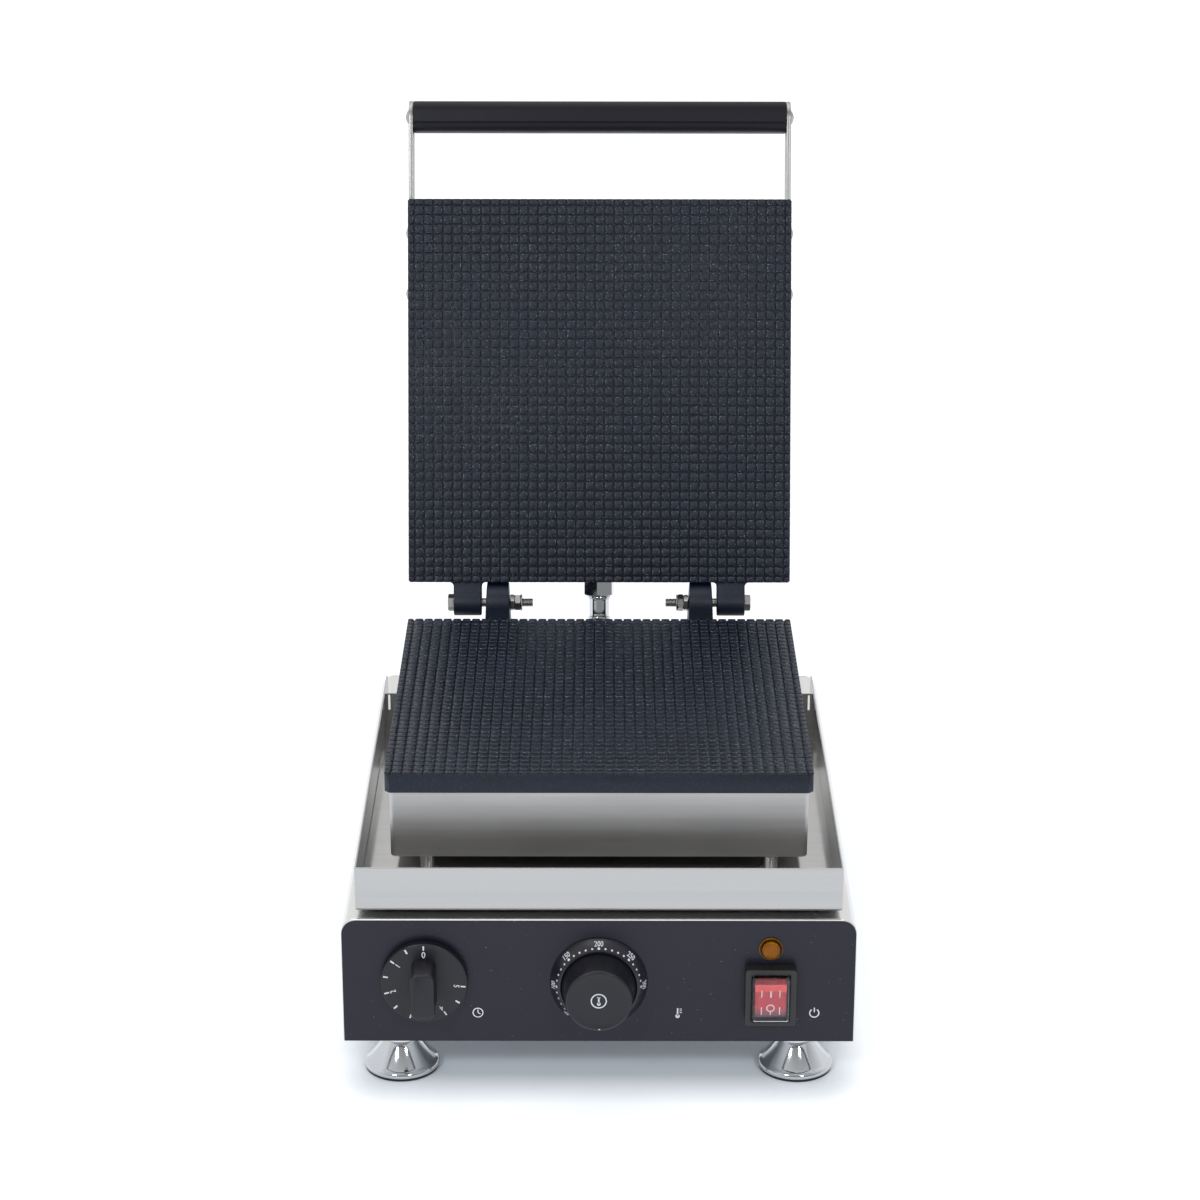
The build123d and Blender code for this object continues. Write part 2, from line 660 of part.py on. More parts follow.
def make_cable_duct():
    low = HOUSING_TOP - HOUSING_SHEET - DUCT_END_PROUD
    high = CASING_BOTTOM + CASING_SHEET + DUCT_END_PROUD
    return tube(DUCT_RADIUS, DUCT_BORE_RADIUS, (0, PLATE_MIDDLE_Y, low), (0, PLATE_MIDDLE_Y, high))


# Baking plates, made with the face at FACE_MIDDLE for both: the upper one is the mirror image

def mirrored_up(solid):
    """The upper half's copy of a body of the lower half, across the middle of the face gap."""
    return mirror(solid, Plane(origin=(0, 0, FACE_MIDDLE), z_dir=(0, 0, 1)))


def make_plate_block():
    """The square plate with grooves from front to rear, its face up, and its corners rounded."""
    half = PLATE_SIZE / 2
    plate = block((-half, half), (PLATE_FRONT_Y, PLATE_REAR_Y), (PLATE_BOTTOM, PLATE_TOP))
    plate = fillet(plate.edges().filter_by(Axis.Z), PLATE_CORNER_RADIUS)
    plate = fillet(plate.edges().group_by(Axis.Z)[-1], PLATE_EDGE_RADIUS)
    count = int((half - GROOVE_WIDTH) / GROOVE_PITCH + 0.5)
    grooves = []
    for place in range(count):
        for side in (-1, 1):
            x = side * (place + 0.5) * GROOVE_PITCH
            grooves.append(
                block(
                    (x - GROOVE_WIDTH / 2, x + GROOVE_WIDTH / 2),
                    (PLATE_FRONT_Y - OVERCUT, PLATE_REAR_Y + OVERCUT),
                    (PLATE_TOP - GROOVE_DEPTH, PLATE_TOP + OVERCUT),
                )
            )
    return plate - grooves


def stud_holes(places, low, high):
    return [upright(STUD_RADIUS + FIT_CLEARANCE, place, low - OVERCUT, high) for place in places]


def clamp_screw_places():
    x = CLAMP_WIDTH / 2 - CLAMP_SCREW_INSET
    y = CLAMP_LENGTH / 2 - CLAMP_SCREW_INSET
    return [(side * x, PLATE_MIDDLE_Y + row * y) for side in (-1, 1) for row in (-1, 1)]


def fastened_plate():
    """The plate with the blind holes of its studs and clamp screws."""
    top = PLATE_BOTTOM + CLAMP_SCREW_DEPTH + BORE_END_GAP
    places = LEG_PLACES + clamp_screw_places()
    return make_plate_block() - stud_holes(places, PLATE_BOTTOM, top)


def lower_lug(side):
    """An ear behind the lower plate, narrower at the top, with a ledge that stops the lid."""
    x = side * LOWER_LUG_X
    angle = radians(LID_OPEN_ANGLE)
    seat = HINGE_BEHIND_PLATE - STOP_CLEARANCE
    up = (-cos(angle), sin(angle))
    back = (sin(angle), cos(angle))
    ledge = [
        (HINGE_Y, HINGE_Z),
        (HINGE_Y + seat * up[0], HINGE_Z + seat * up[1]),
        (HINGE_Y + seat * up[0] + STOP_LENGTH * back[0], HINGE_Z + seat * up[1] + STOP_LENGTH * back[1]),
        (HINGE_Y + LOWER_LUG_RADIUS, HINGE_Z),
    ]
    low = PLATE_BOTTOM
    inner = Pos(HINGE_Y, HINGE_Z) * Circle(LOWER_LUG_RADIUS)
    inner += make_face(Polyline(*ledge, close=True))
    foot = [
        (PLATE_REAR_Y, low),
        (PLATE_REAR_Y, PLATE_TOP - GROOVE_DEPTH),
        (HINGE_Y - LOWER_LUG_RADIUS, PLATE_TOP - GROOVE_DEPTH),
        (HINGE_Y, HINGE_Z),
        (HINGE_Y + LOWER_LUG_RADIUS, HINGE_Z),
        (HINGE_Y + LOWER_LUG_RADIUS - LOWER_LUG_SLOPE, low),
    ]
    inner += make_face(Polyline(*foot, close=True))
    ear = extrude(Plane.YZ * inner, LOWER_LUG_FOOT_WIDTH / 2, both=True)
    high = HINGE_Z + LOWER_LUG_RADIUS + STOP_LENGTH
    slope = (LOWER_LUG_FOOT_WIDTH - LOWER_LUG_TOP_WIDTH) / 2
    half = LOWER_LUG_FOOT_WIDTH / 2
    front = [(-half, low), (half, low), (half - slope, high), (slope - half, high)]
    wedge = extrude(Plane.XZ * make_face(Polyline(*front, close=True)), -2 * HINGE_Y)
    ear &= wedge
    return Pos(x, 0, 0) * ear


def upper_lug(side):
    """A lug behind the upper plate, as thick as the plate at its root, with a round end."""
    outline = Pos(HINGE_Y, HINGE_Z) * Circle(UPPER_LUG_RADIUS)
    root = [
        (PLATE_REAR_Y, UPPER_FACE + GROOVE_DEPTH),
        (PLATE_REAR_Y, UPPER_BACK),
        (HINGE_Y, HINGE_Z + UPPER_LUG_RADIUS),
        (HINGE_Y, HINGE_Z - UPPER_LUG_RADIUS),
    ]
    outline += make_face(Polyline(*root, close=True))
    lug = extrude(Plane.YZ * outline, UPPER_LUG_WIDTH / 2, both=True)
    flare = UPPER_LUG_WIDTH / 2 + LUG_FILLET
    reach = PLATE_REAR_Y + LUG_FILLET
    for way in (-1, 1):
        web = [(way * flare, PLATE_REAR_Y), (way * (flare - LUG_FILLET), PLATE_REAR_Y)]
        web.append((way * (flare - LUG_FILLET), reach))
        foot = Pos(0, 0, UPPER_FACE + GROOVE_DEPTH) * make_face(Polyline(*web, close=True))
        gusset = extrude(foot, PLATE_THICKNESS - GROOVE_DEPTH)
        lug += gusset - upright(LUG_FILLET, (way * flare, reach), UPPER_FACE, UPPER_BACK + OVERCUT)
    return Pos(side * UPPER_LUG_X, 0, 0) * lug


def hinge_bore():
    ends = [(side * PLATE_SIZE / 2, HINGE_Y, HINGE_Z) for side in (-1, 1)]
    return rod(BOLT_RADIUS + RUNNING_CLEARANCE, *ends)


def make_lower_plate():
    plate = fastened_plate()
    for side in (-1, 1):
        plate += lower_lug(side)
    return plate - hinge_bore()


def make_upper_plate():
    plate = mirrored_up(fastened_plate())
    for side in (-1, 1):
        plate += upper_lug(side)
    return plate - hinge_bore()


# Casings

def make_casing():
    """A folded box below the lower plate, open at the top."""
    x = CASING_WIDTH / 2
    box = block((-x, x), (CASING_FRONT_Y, CASING_REAR_Y), (CASING_BOTTOM, PLATE_BOTTOM))
    box = fillet(box.edges().filter_by(Axis.Z), CASING_CORNER_RADIUS)
    box = fillet(box.edges().group_by(Axis.Z)[0], CASING_BEND_RADIUS)
    wall = CASING_SHEET
    inside = block(
        (wall - x, x - wall),
        (CASING_FRONT_Y + wall, CASING_REAR_Y - wall),
        (CASING_BOTTOM + wall, PLATE_BOTTOM + OVERCUT),
    )
    inside = fillet(inside.edges().filter_by(Axis.Z), CASING_CORNER_RADIUS - wall)
    return box - inside - stud_holes(LEG_PLACES, CASING_BOTTOM, CASING_BOTTOM + wall + OVERCUT)


def make_lower_casing():
    low = CASING_BOTTOM - OVERCUT
    high = CASING_BOTTOM + CASING_SHEET + OVERCUT
    return make_casing() - upright(DUCT_RADIUS + FIT_CLEARANCE, (0, PLATE_MIDDLE_Y), low, high)


def arm_screw_places():
    """Places of the arm screws on the closed lid: y, from front to rear."""
    first = PLATE_FRONT_Y + ARM_SCREW_FIRST
    return [first, first + ARM_SCREW_SPACING]


def make_upper_casing():
    casing = mirrored_up(make_casing())
    for y in arm_screw_places():
        ends = [(side * CASING_WIDTH, y, HANDLE_Z) for side in (-1, 1)]
        casing -= rod(STUD_RADIUS + FIT_CLEARANCE, *ends)
    inside = CASING_REAR_Y - CASING_SHEET - OVERCUT
    through = [(0, y, CONDUIT_Z) for y in (inside, CASING_REAR_Y + OVERCUT)]
    return casing - rod(GLAND_STEM_RADIUS + FIT_CLEARANCE, *through)


def make_casing_screws():
    """Long screws from the back of the lid into the upper plate."""
    screws = []
    for place in LEG_PLACES:
        screw = upright(STUD_RADIUS, place, UPPER_BACK - CLAMP_SCREW_DEPTH, UPPER_CASING_TOP)
        head = upright(DOME_HEAD_RADIUS, place, UPPER_CASING_TOP, UPPER_CASING_TOP + DOME_HEAD_HEIGHT)
        head = fillet(head.edges().group_by(Axis.Z)[-1], CASING_SCREW_EDGE_RADIUS)
        screws.append(screw + head)
    return screws


# Heating elements, clamps and insulation

def make_heater():
    """A tubular element bent into parallel runs, lying against the plate."""
    z = PLATE_BOTTOM - HEATER_RADIUS
    turn = HEATER_RUN_PITCH / 2
    first = -(HEATER_RUNS - 1) / 2 * HEATER_RUN_PITCH
    low = PLATE_MIDDLE_Y - HEATER_RUN_LENGTH / 2
    high = PLATE_MIDDLE_Y + HEATER_RUN_LENGTH / 2
    path = []
    for run in range(HEATER_RUNS):
        x = first + run * HEATER_RUN_PITCH
        ends = (low, high) if run % 2 == 0 else (high, low)
        start = ends[0] + (turn if run % 2 == 0 else -turn) * (run > 0)
        stop = ends[1] - (turn if run % 2 == 0 else -turn) * (run < HEATER_RUNS - 1)
        path.append(Line((x, start, z), (x, stop, z)))
        if run < HEATER_RUNS - 1:
            crown = stop + (turn if run % 2 == 0 else -turn)
            path.append(ThreePointArc((x, stop, z), (x + turn, crown, z), (x + 2 * turn, stop, z)))
    wire = Wire(path)
    section = Plane(origin=wire @ 0, z_dir=wire % 0) * Circle(HEATER_RADIUS)
    return sweep(section, path=wire)


def make_clamp():
    top = CLAMP_BOTTOM + CLAMP_SHEET
    x = CLAMP_WIDTH / 2
    y = CLAMP_LENGTH / 2
    clamp = block((-x, x), (PLATE_MIDDLE_Y - y, PLATE_MIDDLE_Y + y), (CLAMP_BOTTOM, top))
    clamp = fillet(clamp.edges().filter_by(Axis.Z), CLAMP_SCREW_INSET / 2)
    return clamp - stud_holes(clamp_screw_places(), CLAMP_BOTTOM, top + OVERCUT)


def make_clamp_screws():
    screws = []
    for place in clamp_screw_places():
        shank = upright(STUD_RADIUS, place, CLAMP_BOTTOM, PLATE_BOTTOM + CLAMP_SCREW_DEPTH)
        head = upright(CLAMP_SCREW_HEAD_RADIUS, place, CLAMP_BOTTOM - CLAMP_SCREW_HEAD_HEIGHT, CLAMP_BOTTOM)
        screws.append(shank + head)
    return screws


def make_insulation():
    x = CASING_WIDTH / 2 - CASING_SHEET - INSULATION_SIDE_GAP
    y = CASING_LENGTH / 2 - CASING_SHEET - INSULATION_SIDE_GAP
    low = CASING_BOTTOM + CASING_SHEET
    high = CLAMP_BOTTOM - CLAMP_SCREW_HEAD_HEIGHT - INSULATION_GAP
    wool = block((-x, x), (PLATE_MIDDLE_Y - y, PLATE_MIDDLE_Y + y), (low, high))
    wool = fillet(wool.edges().filter_by(Axis.Z), INSULATION_SIDE_GAP)
    radius = STUD_RADIUS + INSULATION_HOLE_GAP
    return wool - [upright(radius, place, CASING_BOTTOM, PLATE_BOTTOM) for place in LEG_PLACES]


def make_lower_insulation():
    radius = DUCT_RADIUS + INSULATION_HOLE_GAP
    return make_insulation() - upright(radius, (0, PLATE_MIDDLE_Y), CASING_BOTTOM, PLATE_BOTTOM)


def make_upper_insulation():
    gap = INSULATION_HOLE_GAP
    inside = CASING_REAR_Y - GLAND_STEM_LENGTH - gap
    wool = mirrored_up(make_insulation())
    wool -= rod(GLAND_STEM_RADIUS + gap, (0, inside, CONDUIT_Z), (0, CASING_REAR_Y, CONDUIT_Z))
    for side in (-1, 1):
        for y in arm_screw_places():
            start = (side * (CASING_WIDTH / 2 - ARM_SCREW_LENGTH - gap), y, HANDLE_Z)
            wool -= rod(STUD_RADIUS + gap, start, (side * CASING_WIDTH, y, HANDLE_Z))
    return wool


# Hinge bolts and nuts

def bolt_start():
    """How far from the middle the underside of a bolt's head lies."""
    return UPPER_LUG_X + UPPER_LUG_WIDTH / 2


def lower_lug_inner_face():
    """How far from the middle the lower lug's inner face lies, at the bolt's nut."""
    reach = BOLT_HEAD_FLATS * 0.6
    share = (HINGE_Z - reach - PLATE_BOTTOM) / (HINGE_Z + LOWER_LUG_RADIUS + STOP_LENGTH - PLATE_BOTTOM)
    width = LOWER_LUG_FOOT_WIDTH - share * (LOWER_LUG_FOOT_WIDTH - LOWER_LUG_TOP_WIDTH)
    return LOWER_LUG_X - width / 2 - FIT_CLEARANCE


def make_hinge_bolt(side):
    start = bolt_start() + RUNNING_CLEARANCE
    seat = (side * start, HINGE_Y, HINGE_Z)
    tip = (side * (start - BOLT_LENGTH), HINGE_Y, HINGE_Z)
    top = (side * (start + BOLT_HEAD_HEIGHT), HINGE_Y, HINGE_Z)
    return rod(BOLT_RADIUS, seat, tip) + hexagon(BOLT_HEAD_FLATS, seat, top, BOLT_HEAD_TURN)


def make_hinge_nuts():
    nuts = []
    for side in (-1, 1):
        place = lower_lug_inner_face()
        for turn, height in enumerate(HINGE_NUT_HEIGHTS):
            start = (side * place, HINGE_Y, HINGE_Z)
            end = (side * (place - height), HINGE_Y, HINGE_Z)
            nut = hexagon(BOLT_HEAD_FLATS, start, end, HINGE_NUT_TURN * turn)
            nuts.append(nut - rod(BOLT_RADIUS + FIT_CLEARANCE, start, end))
            place -= height
    return nuts


# Handle, on the closed lid

def make_handle_arm(side):
    """A flat strip with round ends, on the upper casing's side."""
    inner = CASING_WIDTH / 2
    rear = PLATE_FRONT_Y + ARM_INSIDE_LENGTH
    outline = Pos((HANDLE_Y + rear) / 2, HANDLE_Z) * SlotOverall(rear - HANDLE_Y + ARM_WIDTH, ARM_WIDTH)
    strip = Pos(inner, 0, 0) * extrude(Plane.YZ * outline, ARM_THICKNESS)
    holes = [(STUD_RADIUS, y) for y in arm_screw_places()]
    holes.append((BOLT_RADIUS, HANDLE_Y))
    for radius, y in holes:
        ends = [(x, y, HANDLE_Z) for x in (inner - OVERCUT, inner + ARM_THICKNESS + OVERCUT)]
        strip -= rod(radius + FIT_CLEARANCE, *ends)
    return strip if side > 0 else mirror(strip, Plane.YZ)


def make_handle_bar():
    """A rounded bar between the arms, with a fine groove along its front and its rear."""
    half = CASING_WIDTH / 2
    outline = Rectangle(HANDLE_HEIGHT, HANDLE_DEPTH)
    outline = fillet(outline.vertices(), HANDLE_CORNER_RADIUS)
    for side in (-1, 1):
        groove = Rot(0, 0, 45) * Rectangle(HANDLE_GROOVE, HANDLE_GROOVE)
        outline -= Pos(HANDLE_GROOVE_HEIGHT, side * HANDLE_DEPTH / 2) * groove
    bar = extrude(Plane.YZ * (Pos(HANDLE_Y, HANDLE_Z) * outline), half, both=True)
    for side in (-1, 1):
        start = (side * (half + OVERCUT), HANDLE_Y, HANDLE_Z)
        end = (side * (half - HANDLE_SCREW_LENGTH), HANDLE_Y, HANDLE_Z)
        bar -= rod(BOLT_RADIUS + FIT_CLEARANCE, start, end)
    return bar


def dome_screws(radius, length, places):
    screws = []
    face = CASING_WIDTH / 2 + ARM_THICKNESS
    for side in (-1, 1):
        for y in places:
            seat = (side * face, y, HANDLE_Z)
            shank = rod(radius, seat, (side * (face - length), y, HANDLE_Z))
            screws.append(shank + dome_head(DOME_HEAD_RADIUS, DOME_HEAD_HEIGHT, seat, side))
    return screws


# Conduit between the lid and the housing

def along_gland(start, end):
    """Two points on the closed lid's gland axis, by their distances behind the casing."""
    return (0, CASING_REAR_Y + start, CONDUIT_Z), (0, CASING_REAR_Y + end, CONDUIT_Z)


def make_lid_gland():
    """Nut and ferrule behind the upper casing, with a stem through its wall."""
    end = GLAND_NUT_LENGTH + FERRULE_LENGTH
    gland = rod(GLAND_STEM_RADIUS, *along_gland(-GLAND_STEM_LENGTH, OVERCUT))
    gland += hexagon(GLAND_NUT_FLATS, *along_gland(0, GLAND_NUT_LENGTH), GLAND_NUT_TURN)
    gland += rod(FERRULE_RADIUS, *along_gland(GLAND_NUT_LENGTH - OVERCUT, end))
    for start in (GLAND_NUT_LENGTH, end - FERRULE_RING_HEIGHT):
        gland += rod(FERRULE_RADIUS + FERRULE_RING_PROUD, *along_gland(start, start + FERRULE_RING_HEIGHT))
    return gland - rod(CONDUIT_BORE_RADIUS, *along_gland(-GLAND_STEM_LENGTH - OVERCUT, end + OVERCUT))


def make_conduit_bush():
    """A flanged bush in the housing's top, in which the conduit slides as the lid turns."""
    place = (0, BUSH_Y)
    low = HOUSING_TOP - BUSH_HEIGHT
    high = HOUSING_TOP + BUSH_HEIGHT
    bush = upright(BUSH_BODY_RADIUS, place, low, high)
    bush += upright(BUSH_RADIUS, place, HOUSING_TOP, HOUSING_TOP + BUSH_FLANGE_HEIGHT)
    bush = fillet(bush.edges().group_by(Axis.Z)[-1], BUSH_EDGE_RADIUS)
    return bush - upright(CONDUIT_RADIUS + BUSH_CLEARANCE, place, low - OVERCUT, high + OVERCUT)


def conduit_route():
    """Points of the conduit on the open lid, from the ferrule down into the housing: y and z."""
    far = CASING_REAR_Y + GLAND_NUT_LENGTH + FERRULE_LENGTH + FREE_CLEARANCE
    start = turned_about_hinge(far, CONDUIT_Z)
    ahead = turned_about_hinge(far + 1, CONDUIT_Z)
    steps = (BUSH_Y - start[0]) / (ahead[0] - start[0])
    corner = start[1] + steps * (ahead[1] - start[1])
    return [start, (BUSH_Y, corner), (BUSH_Y, HOUSING_TOP - BUSH_HEIGHT - CONDUIT_RESERVE)]


def make_conduit():
    points = [(0, y, z) for y, z in conduit_route()]
    before = Vector(*points[1]) - Vector(*points[0])
    after = Vector(*points[2]) - Vector(*points[1])
    turn = radians(before.get_angle(after))
    radius = CONDUIT_BEND_SHARE * min(before.length, after.length) / tan(turn / 2)
    print("conduit bend radius", round(radius, 1))
    wire = FilletPolyline(*points, radius=radius)
    seat = Plane(origin=wire @ 0, z_dir=wire % 0)
    outer = sweep(seat * Circle(CONDUIT_RADIUS), path=wire)
    inner = sweep(seat * Circle(CONDUIT_BORE_RADIUS), path=wire)
    return outer - inner


# Knobs, made along +Z from the panel's face

def raised(height, solid):
    return Pos(0, 0, height) * solid


def knob_boss(height):
    """The round boss behind a knob, which takes its shaft."""
    return raised(KNOB_GAP, peg(SHAFT_RADIUS + KNOB_BOSS_WALL, height))


def knob_bore(front):
    """The blind bore of a knob, for its shaft."""
    return peg(SHAFT_RADIUS + FIT_CLEARANCE, front - KNOB_WALL)


def make_timer_knob():
    """A flat skirt with a raised grip bar across it, hollow behind."""
    thickness = TIMER_SKIRT_FRONT - KNOB_GAP
    skirt = raised(KNOB_GAP, peg(TIMER_SKIRT_RADIUS, thickness))
    skirt = fillet(skirt.edges().group_by(Axis.Z)[-1], TIMER_SKIRT_EDGE_RADIUS)
    outline = RectangleRounded(
        TIMER_GRIP_WIDTH + KNOB_WALL, TIMER_GRIP_LENGTH + KNOB_WALL, TIMER_GRIP_CORNER_RADIUS
    )
    foot = raised(TIMER_SKIRT_FRONT - KNOB_WALL, outline)
    grip = extrude(foot, TIMER_GRIP_HEIGHT + KNOB_WALL, taper=TIMER_GRIP_TAPER)
    grip = fillet(grip.edges().group_by(Axis.Z)[-1], TIMER_GRIP_EDGE_RADIUS)
    hollow = raised(KNOB_GAP, peg(TIMER_SKIRT_RADIUS - KNOB_WALL, thickness - KNOB_WALL))
    bore = knob_bore(TIMER_SKIRT_FRONT + TIMER_GRIP_HEIGHT)
    knob = skirt - hollow + knob_boss(thickness) + grip - bore
    return facing_front(knob, TIMER_X, TIMER_Z)


def make_thermostat_knob():
    """A plain knob that tapers to its face, which is slightly dished."""
    front = THERMOSTAT_KNOB_FRONT
    low = KNOB_GAP
    edge = THERMOSTAT_KNOB_EDGE_RADIUS
    rim = THERMOSTAT_KNOB_FACE_RADIUS - edge
    profile = [
        (0, low),
        (THERMOSTAT_KNOB_RADIUS, low),
        (THERMOSTAT_KNOB_RADIUS, DIAL_HEIGHT),
        (THERMOSTAT_KNOB_FACE_RADIUS, front - edge),
        (THERMOSTAT_KNOB_FACE_RADIUS - edge * (1 - sin(radians(45))), front - edge * (1 - cos(radians(45)))),
        (rim, front),
        (rim - THERMOSTAT_KNOB_RIM_WIDTH, front),
        (0, front - THERMOSTAT_KNOB_DISH),
    ]
    knob = turned_profile(profile, (0, 0, 0))
    hollow = raised(low, peg(THERMOSTAT_KNOB_RADIUS - KNOB_WALL, DIAL_HEIGHT - low))
    knob = knob - hollow + knob_boss(front / 2) - knob_bore(front)
    return facing_front(knob, THERMOSTAT_X, THERMOSTAT_Z)


def make_dial_ring():
    """The fixed conical dial round the thermostat knob."""
    profile = [
        (DIAL_RADIUS, 0),
        (DIAL_RADIUS, DIAL_RIM),
        (DIAL_INNER_RADIUS + DIAL_INNER_RIM, DIAL_HEIGHT),
        (DIAL_INNER_RADIUS, DIAL_HEIGHT),
        (DIAL_INNER_RADIUS, 0),
    ]
    return facing_front(turned_profile(profile, (0, 0, 0)), THERMOSTAT_X, THERMOSTAT_Z)


def make_shaft(x, z, front):
    tip = front - KNOB_WALL - BORE_END_GAP
    return rod(SHAFT_RADIUS, (x, -tip, z), (x, PANEL_SHEET + SHAFT_DEPTH, z))


def shaft_bore(x, z):
    depth = PANEL_SHEET + SHAFT_DEPTH + BORE_END_GAP
    return rod(SHAFT_RADIUS + RUNNING_CLEARANCE, (x, -KNOB_GAP, z), (x, depth, z))


def bushing(x, z):
    """The threaded neck of a switch, through the panel."""
    return rod(BUSHING_RADIUS, (x, FREE_CLEARANCE - KNOB_GAP, z), (x, PANEL_SHEET + OVERCUT, z))


def make_timer_body():
    body = block(
        (TIMER_X - TIMER_BODY_WIDTH / 2, TIMER_X + TIMER_BODY_WIDTH / 2),
        (PANEL_SHEET, PANEL_SHEET + TIMER_BODY_DEPTH),
        (TIMER_Z - TIMER_BODY_HEIGHT / 2, TIMER_Z + TIMER_BODY_HEIGHT / 2),
    )
    body = fillet(body.edges().filter_by(Axis.Y), TIMER_BODY_CORNER_RADIUS)
    return body + bushing(TIMER_X, TIMER_Z) - shaft_bore(TIMER_X, TIMER_Z)


def make_thermostat_body():
    ends = [(THERMOSTAT_X, y, THERMOSTAT_Z) for y in (PANEL_SHEET, PANEL_SHEET + THERMOSTAT_BODY_DEPTH)]
    body = rod(THERMOSTAT_BODY_RADIUS, *ends)
    return body + bushing(THERMOSTAT_X, THERMOSTAT_Z) - shaft_bore(THERMOSTAT_X, THERMOSTAT_Z)


def make_thermostat_bulb():
    """The bulb under the lower clamp plate, and its capillary down the duct to the thermostat."""
    z = CLAMP_BOTTOM - BULB_RADIUS
    x = DUCT_BORE_RADIUS - CAPILLARY_RADIUS - CAPILLARY_GAP
    bulb_rear = PLATE_MIDDLE_Y - BULB_FROM_DUCT
    bulb = rod(BULB_RADIUS, (x, PLATE_MIDDLE_Y - BULB_LENGTH, z), (x, bulb_rear, z))
    back = PANEL_SHEET + THERMOSTAT_BODY_DEPTH
    path = Polyline(
        (x, bulb_rear - OVERCUT, z),
        (x, PLATE_MIDDLE_Y, z),
        (x, PLATE_MIDDLE_Y, THERMOSTAT_Z),
        (x, back, THERMOSTAT_Z),
    )
    start = Plane(origin=path @ 0, z_dir=path % 0)
    capillary = sweep(start * Circle(CAPILLARY_RADIUS), path=path, transition=Transition.RIGHT)
    return bulb + capillary


# Lamp and switch

def make_lamp_lens():
    """A flange with a domed boss, standing on the panel."""
    lens = peg(LAMP_FLANGE_RADIUS, LAMP_FLANGE_THICKNESS)
    lens = fillet(lens.edges().group_by(Axis.Z)[-1], LAMP_FLANGE_EDGE_RADIUS)
    boss = peg(LAMP_BOSS_RADIUS, LAMP_FLANGE_THICKNESS + LAMP_BOSS_HEIGHT)
    boss = fillet(boss.edges().group_by(Axis.Z)[-1], LAMP_BOSS_EDGE_RADIUS)
    return facing_front(lens + boss, LAMP_X, LAMP_Z)


def make_lamp_body():
    """The lamp's barrel through the panel, with the nut that holds it."""
    barrel = rod(LAMP_BODY_RADIUS, (LAMP_X, 0, LAMP_Z), (LAMP_X, LAMP_BODY_DEPTH, LAMP_Z))
    nut_ends = [(LAMP_X, y, LAMP_Z) for y in (PANEL_SHEET, PANEL_SHEET + LAMP_NUT_HEIGHT)]
    return barrel + hexagon(LAMP_NUT_FLATS, *nut_ends)


def around_switch(width, height, front, rear):
    """A box centred on the switch, between two distances in front of the panel's face."""
    return block(
        (SWITCH_X - width / 2, SWITCH_X + width / 2),
        (-front, -rear),
        (SWITCH_Z - height / 2, SWITCH_Z + height / 2),
    )


def make_switch_frame():
    """The black frame with its rebate for the hood, and the body behind the panel."""
    rim = around_switch(SWITCH_FRAME_WIDTH, SWITCH_FRAME_HEIGHT, SWITCH_FRAME_FRONT, 0)
    rim = fillet(rim.edges().filter_by(Axis.Y), SWITCH_CORNER_RADIUS)
    rim = fillet(rim.edges().group_by(Axis.Y)[0], SWITCH_EDGE_RADIUS)
    frame = rim + around_switch(SWITCH_BODY_WIDTH, SWITCH_BODY_HEIGHT, 0, -SWITCH_BODY_DEPTH)
    step = SWITCH_FRAME_FRONT - HOOD_REBATE
    clearance = 2 * FIT_CLEARANCE
    above = SWITCH_FRAME_FRONT + OVERCUT
    frame -= around_switch(HOOD_WIDTH + clearance, HOOD_HEIGHT + clearance, above, step)
    well_width = ROCKER_WIDTH + 2 * FREE_CLEARANCE
    well_height = 2 * (ROCKER_HALF_HEIGHT + SWITCH_WELL_GAP)
    frame -= around_switch(well_width, well_height, step + OVERCUT, -ROCKER_BACK - 2 * PIVOT_RADIUS)
    reach = ROCKER_WIDTH / 2 + PIVOT_LENGTH + FREE_CLEARANCE
    pivot = [(SWITCH_X + side * reach, -ROCKER_PIVOT_FRONT, SWITCH_Z) for side in (-1, 1)]
    frame -= rod(PIVOT_RADIUS + RUNNING_CLEARANCE, *pivot)
    tab_end = SWITCH_BODY_DEPTH + SWITCH_TAB_LENGTH
    tab = around_switch(SWITCH_TAB_WIDTH, SWITCH_TAB_THICKNESS, OVERCUT - SWITCH_BODY_DEPTH, -tab_end)
    for row in (-1, 0, 1):
        frame += raised(row * SWITCH_BODY_HEIGHT / 4, tab)
    return frame


def make_switch_hood():
    """The clear hood over the rocker, open behind."""
    front = SWITCH_FRAME_FRONT + HOOD_PROUD
    back = SWITCH_FRAME_FRONT - HOOD_REBATE
    wall = 2 * HOOD_WALL
    hood = around_switch(HOOD_WIDTH, HOOD_HEIGHT, front, back)
    hood = fillet(hood.edges().group_by(Axis.Y)[0], HOOD_EDGE_RADIUS)
    return hood - around_switch(HOOD_WIDTH - wall, HOOD_HEIGHT - wall, front - HOOD_WALL, back - OVERCUT)


def make_switch_rocker():
    """The rocker, seen along its pivot: two faces that meet in a shallow valley, tilted to off."""
    half = ROCKER_HALF_HEIGHT
    widest = half + ROCKER_END_BULGE
    narrow = half - ROCKER_END_TAPER
    outline = [
        (-ROCKER_CREST, -half),
        (-ROCKER_VALLEY, 0),
        (-ROCKER_CREST, half),
        (-ROCKER_END_WIDEST, widest),
        (ROCKER_BACK, narrow),
        (ROCKER_BACK, -narrow),
        (-ROCKER_END_WIDEST, -widest),
    ]
    rocker = extrude(Plane.YZ * make_face(Polyline(*outline, close=True)), ROCKER_WIDTH / 2, both=True)
    reach = ROCKER_WIDTH / 2 + PIVOT_LENGTH
    rocker += rod(PIVOT_RADIUS, (-reach, 0, 0), (reach, 0, 0))
    return Pos(SWITCH_X, -ROCKER_PIVOT_FRONT, SWITCH_Z) * Rot(ROCKER_TILT, 0, 0) * rocker


# Mains inlet and terminals

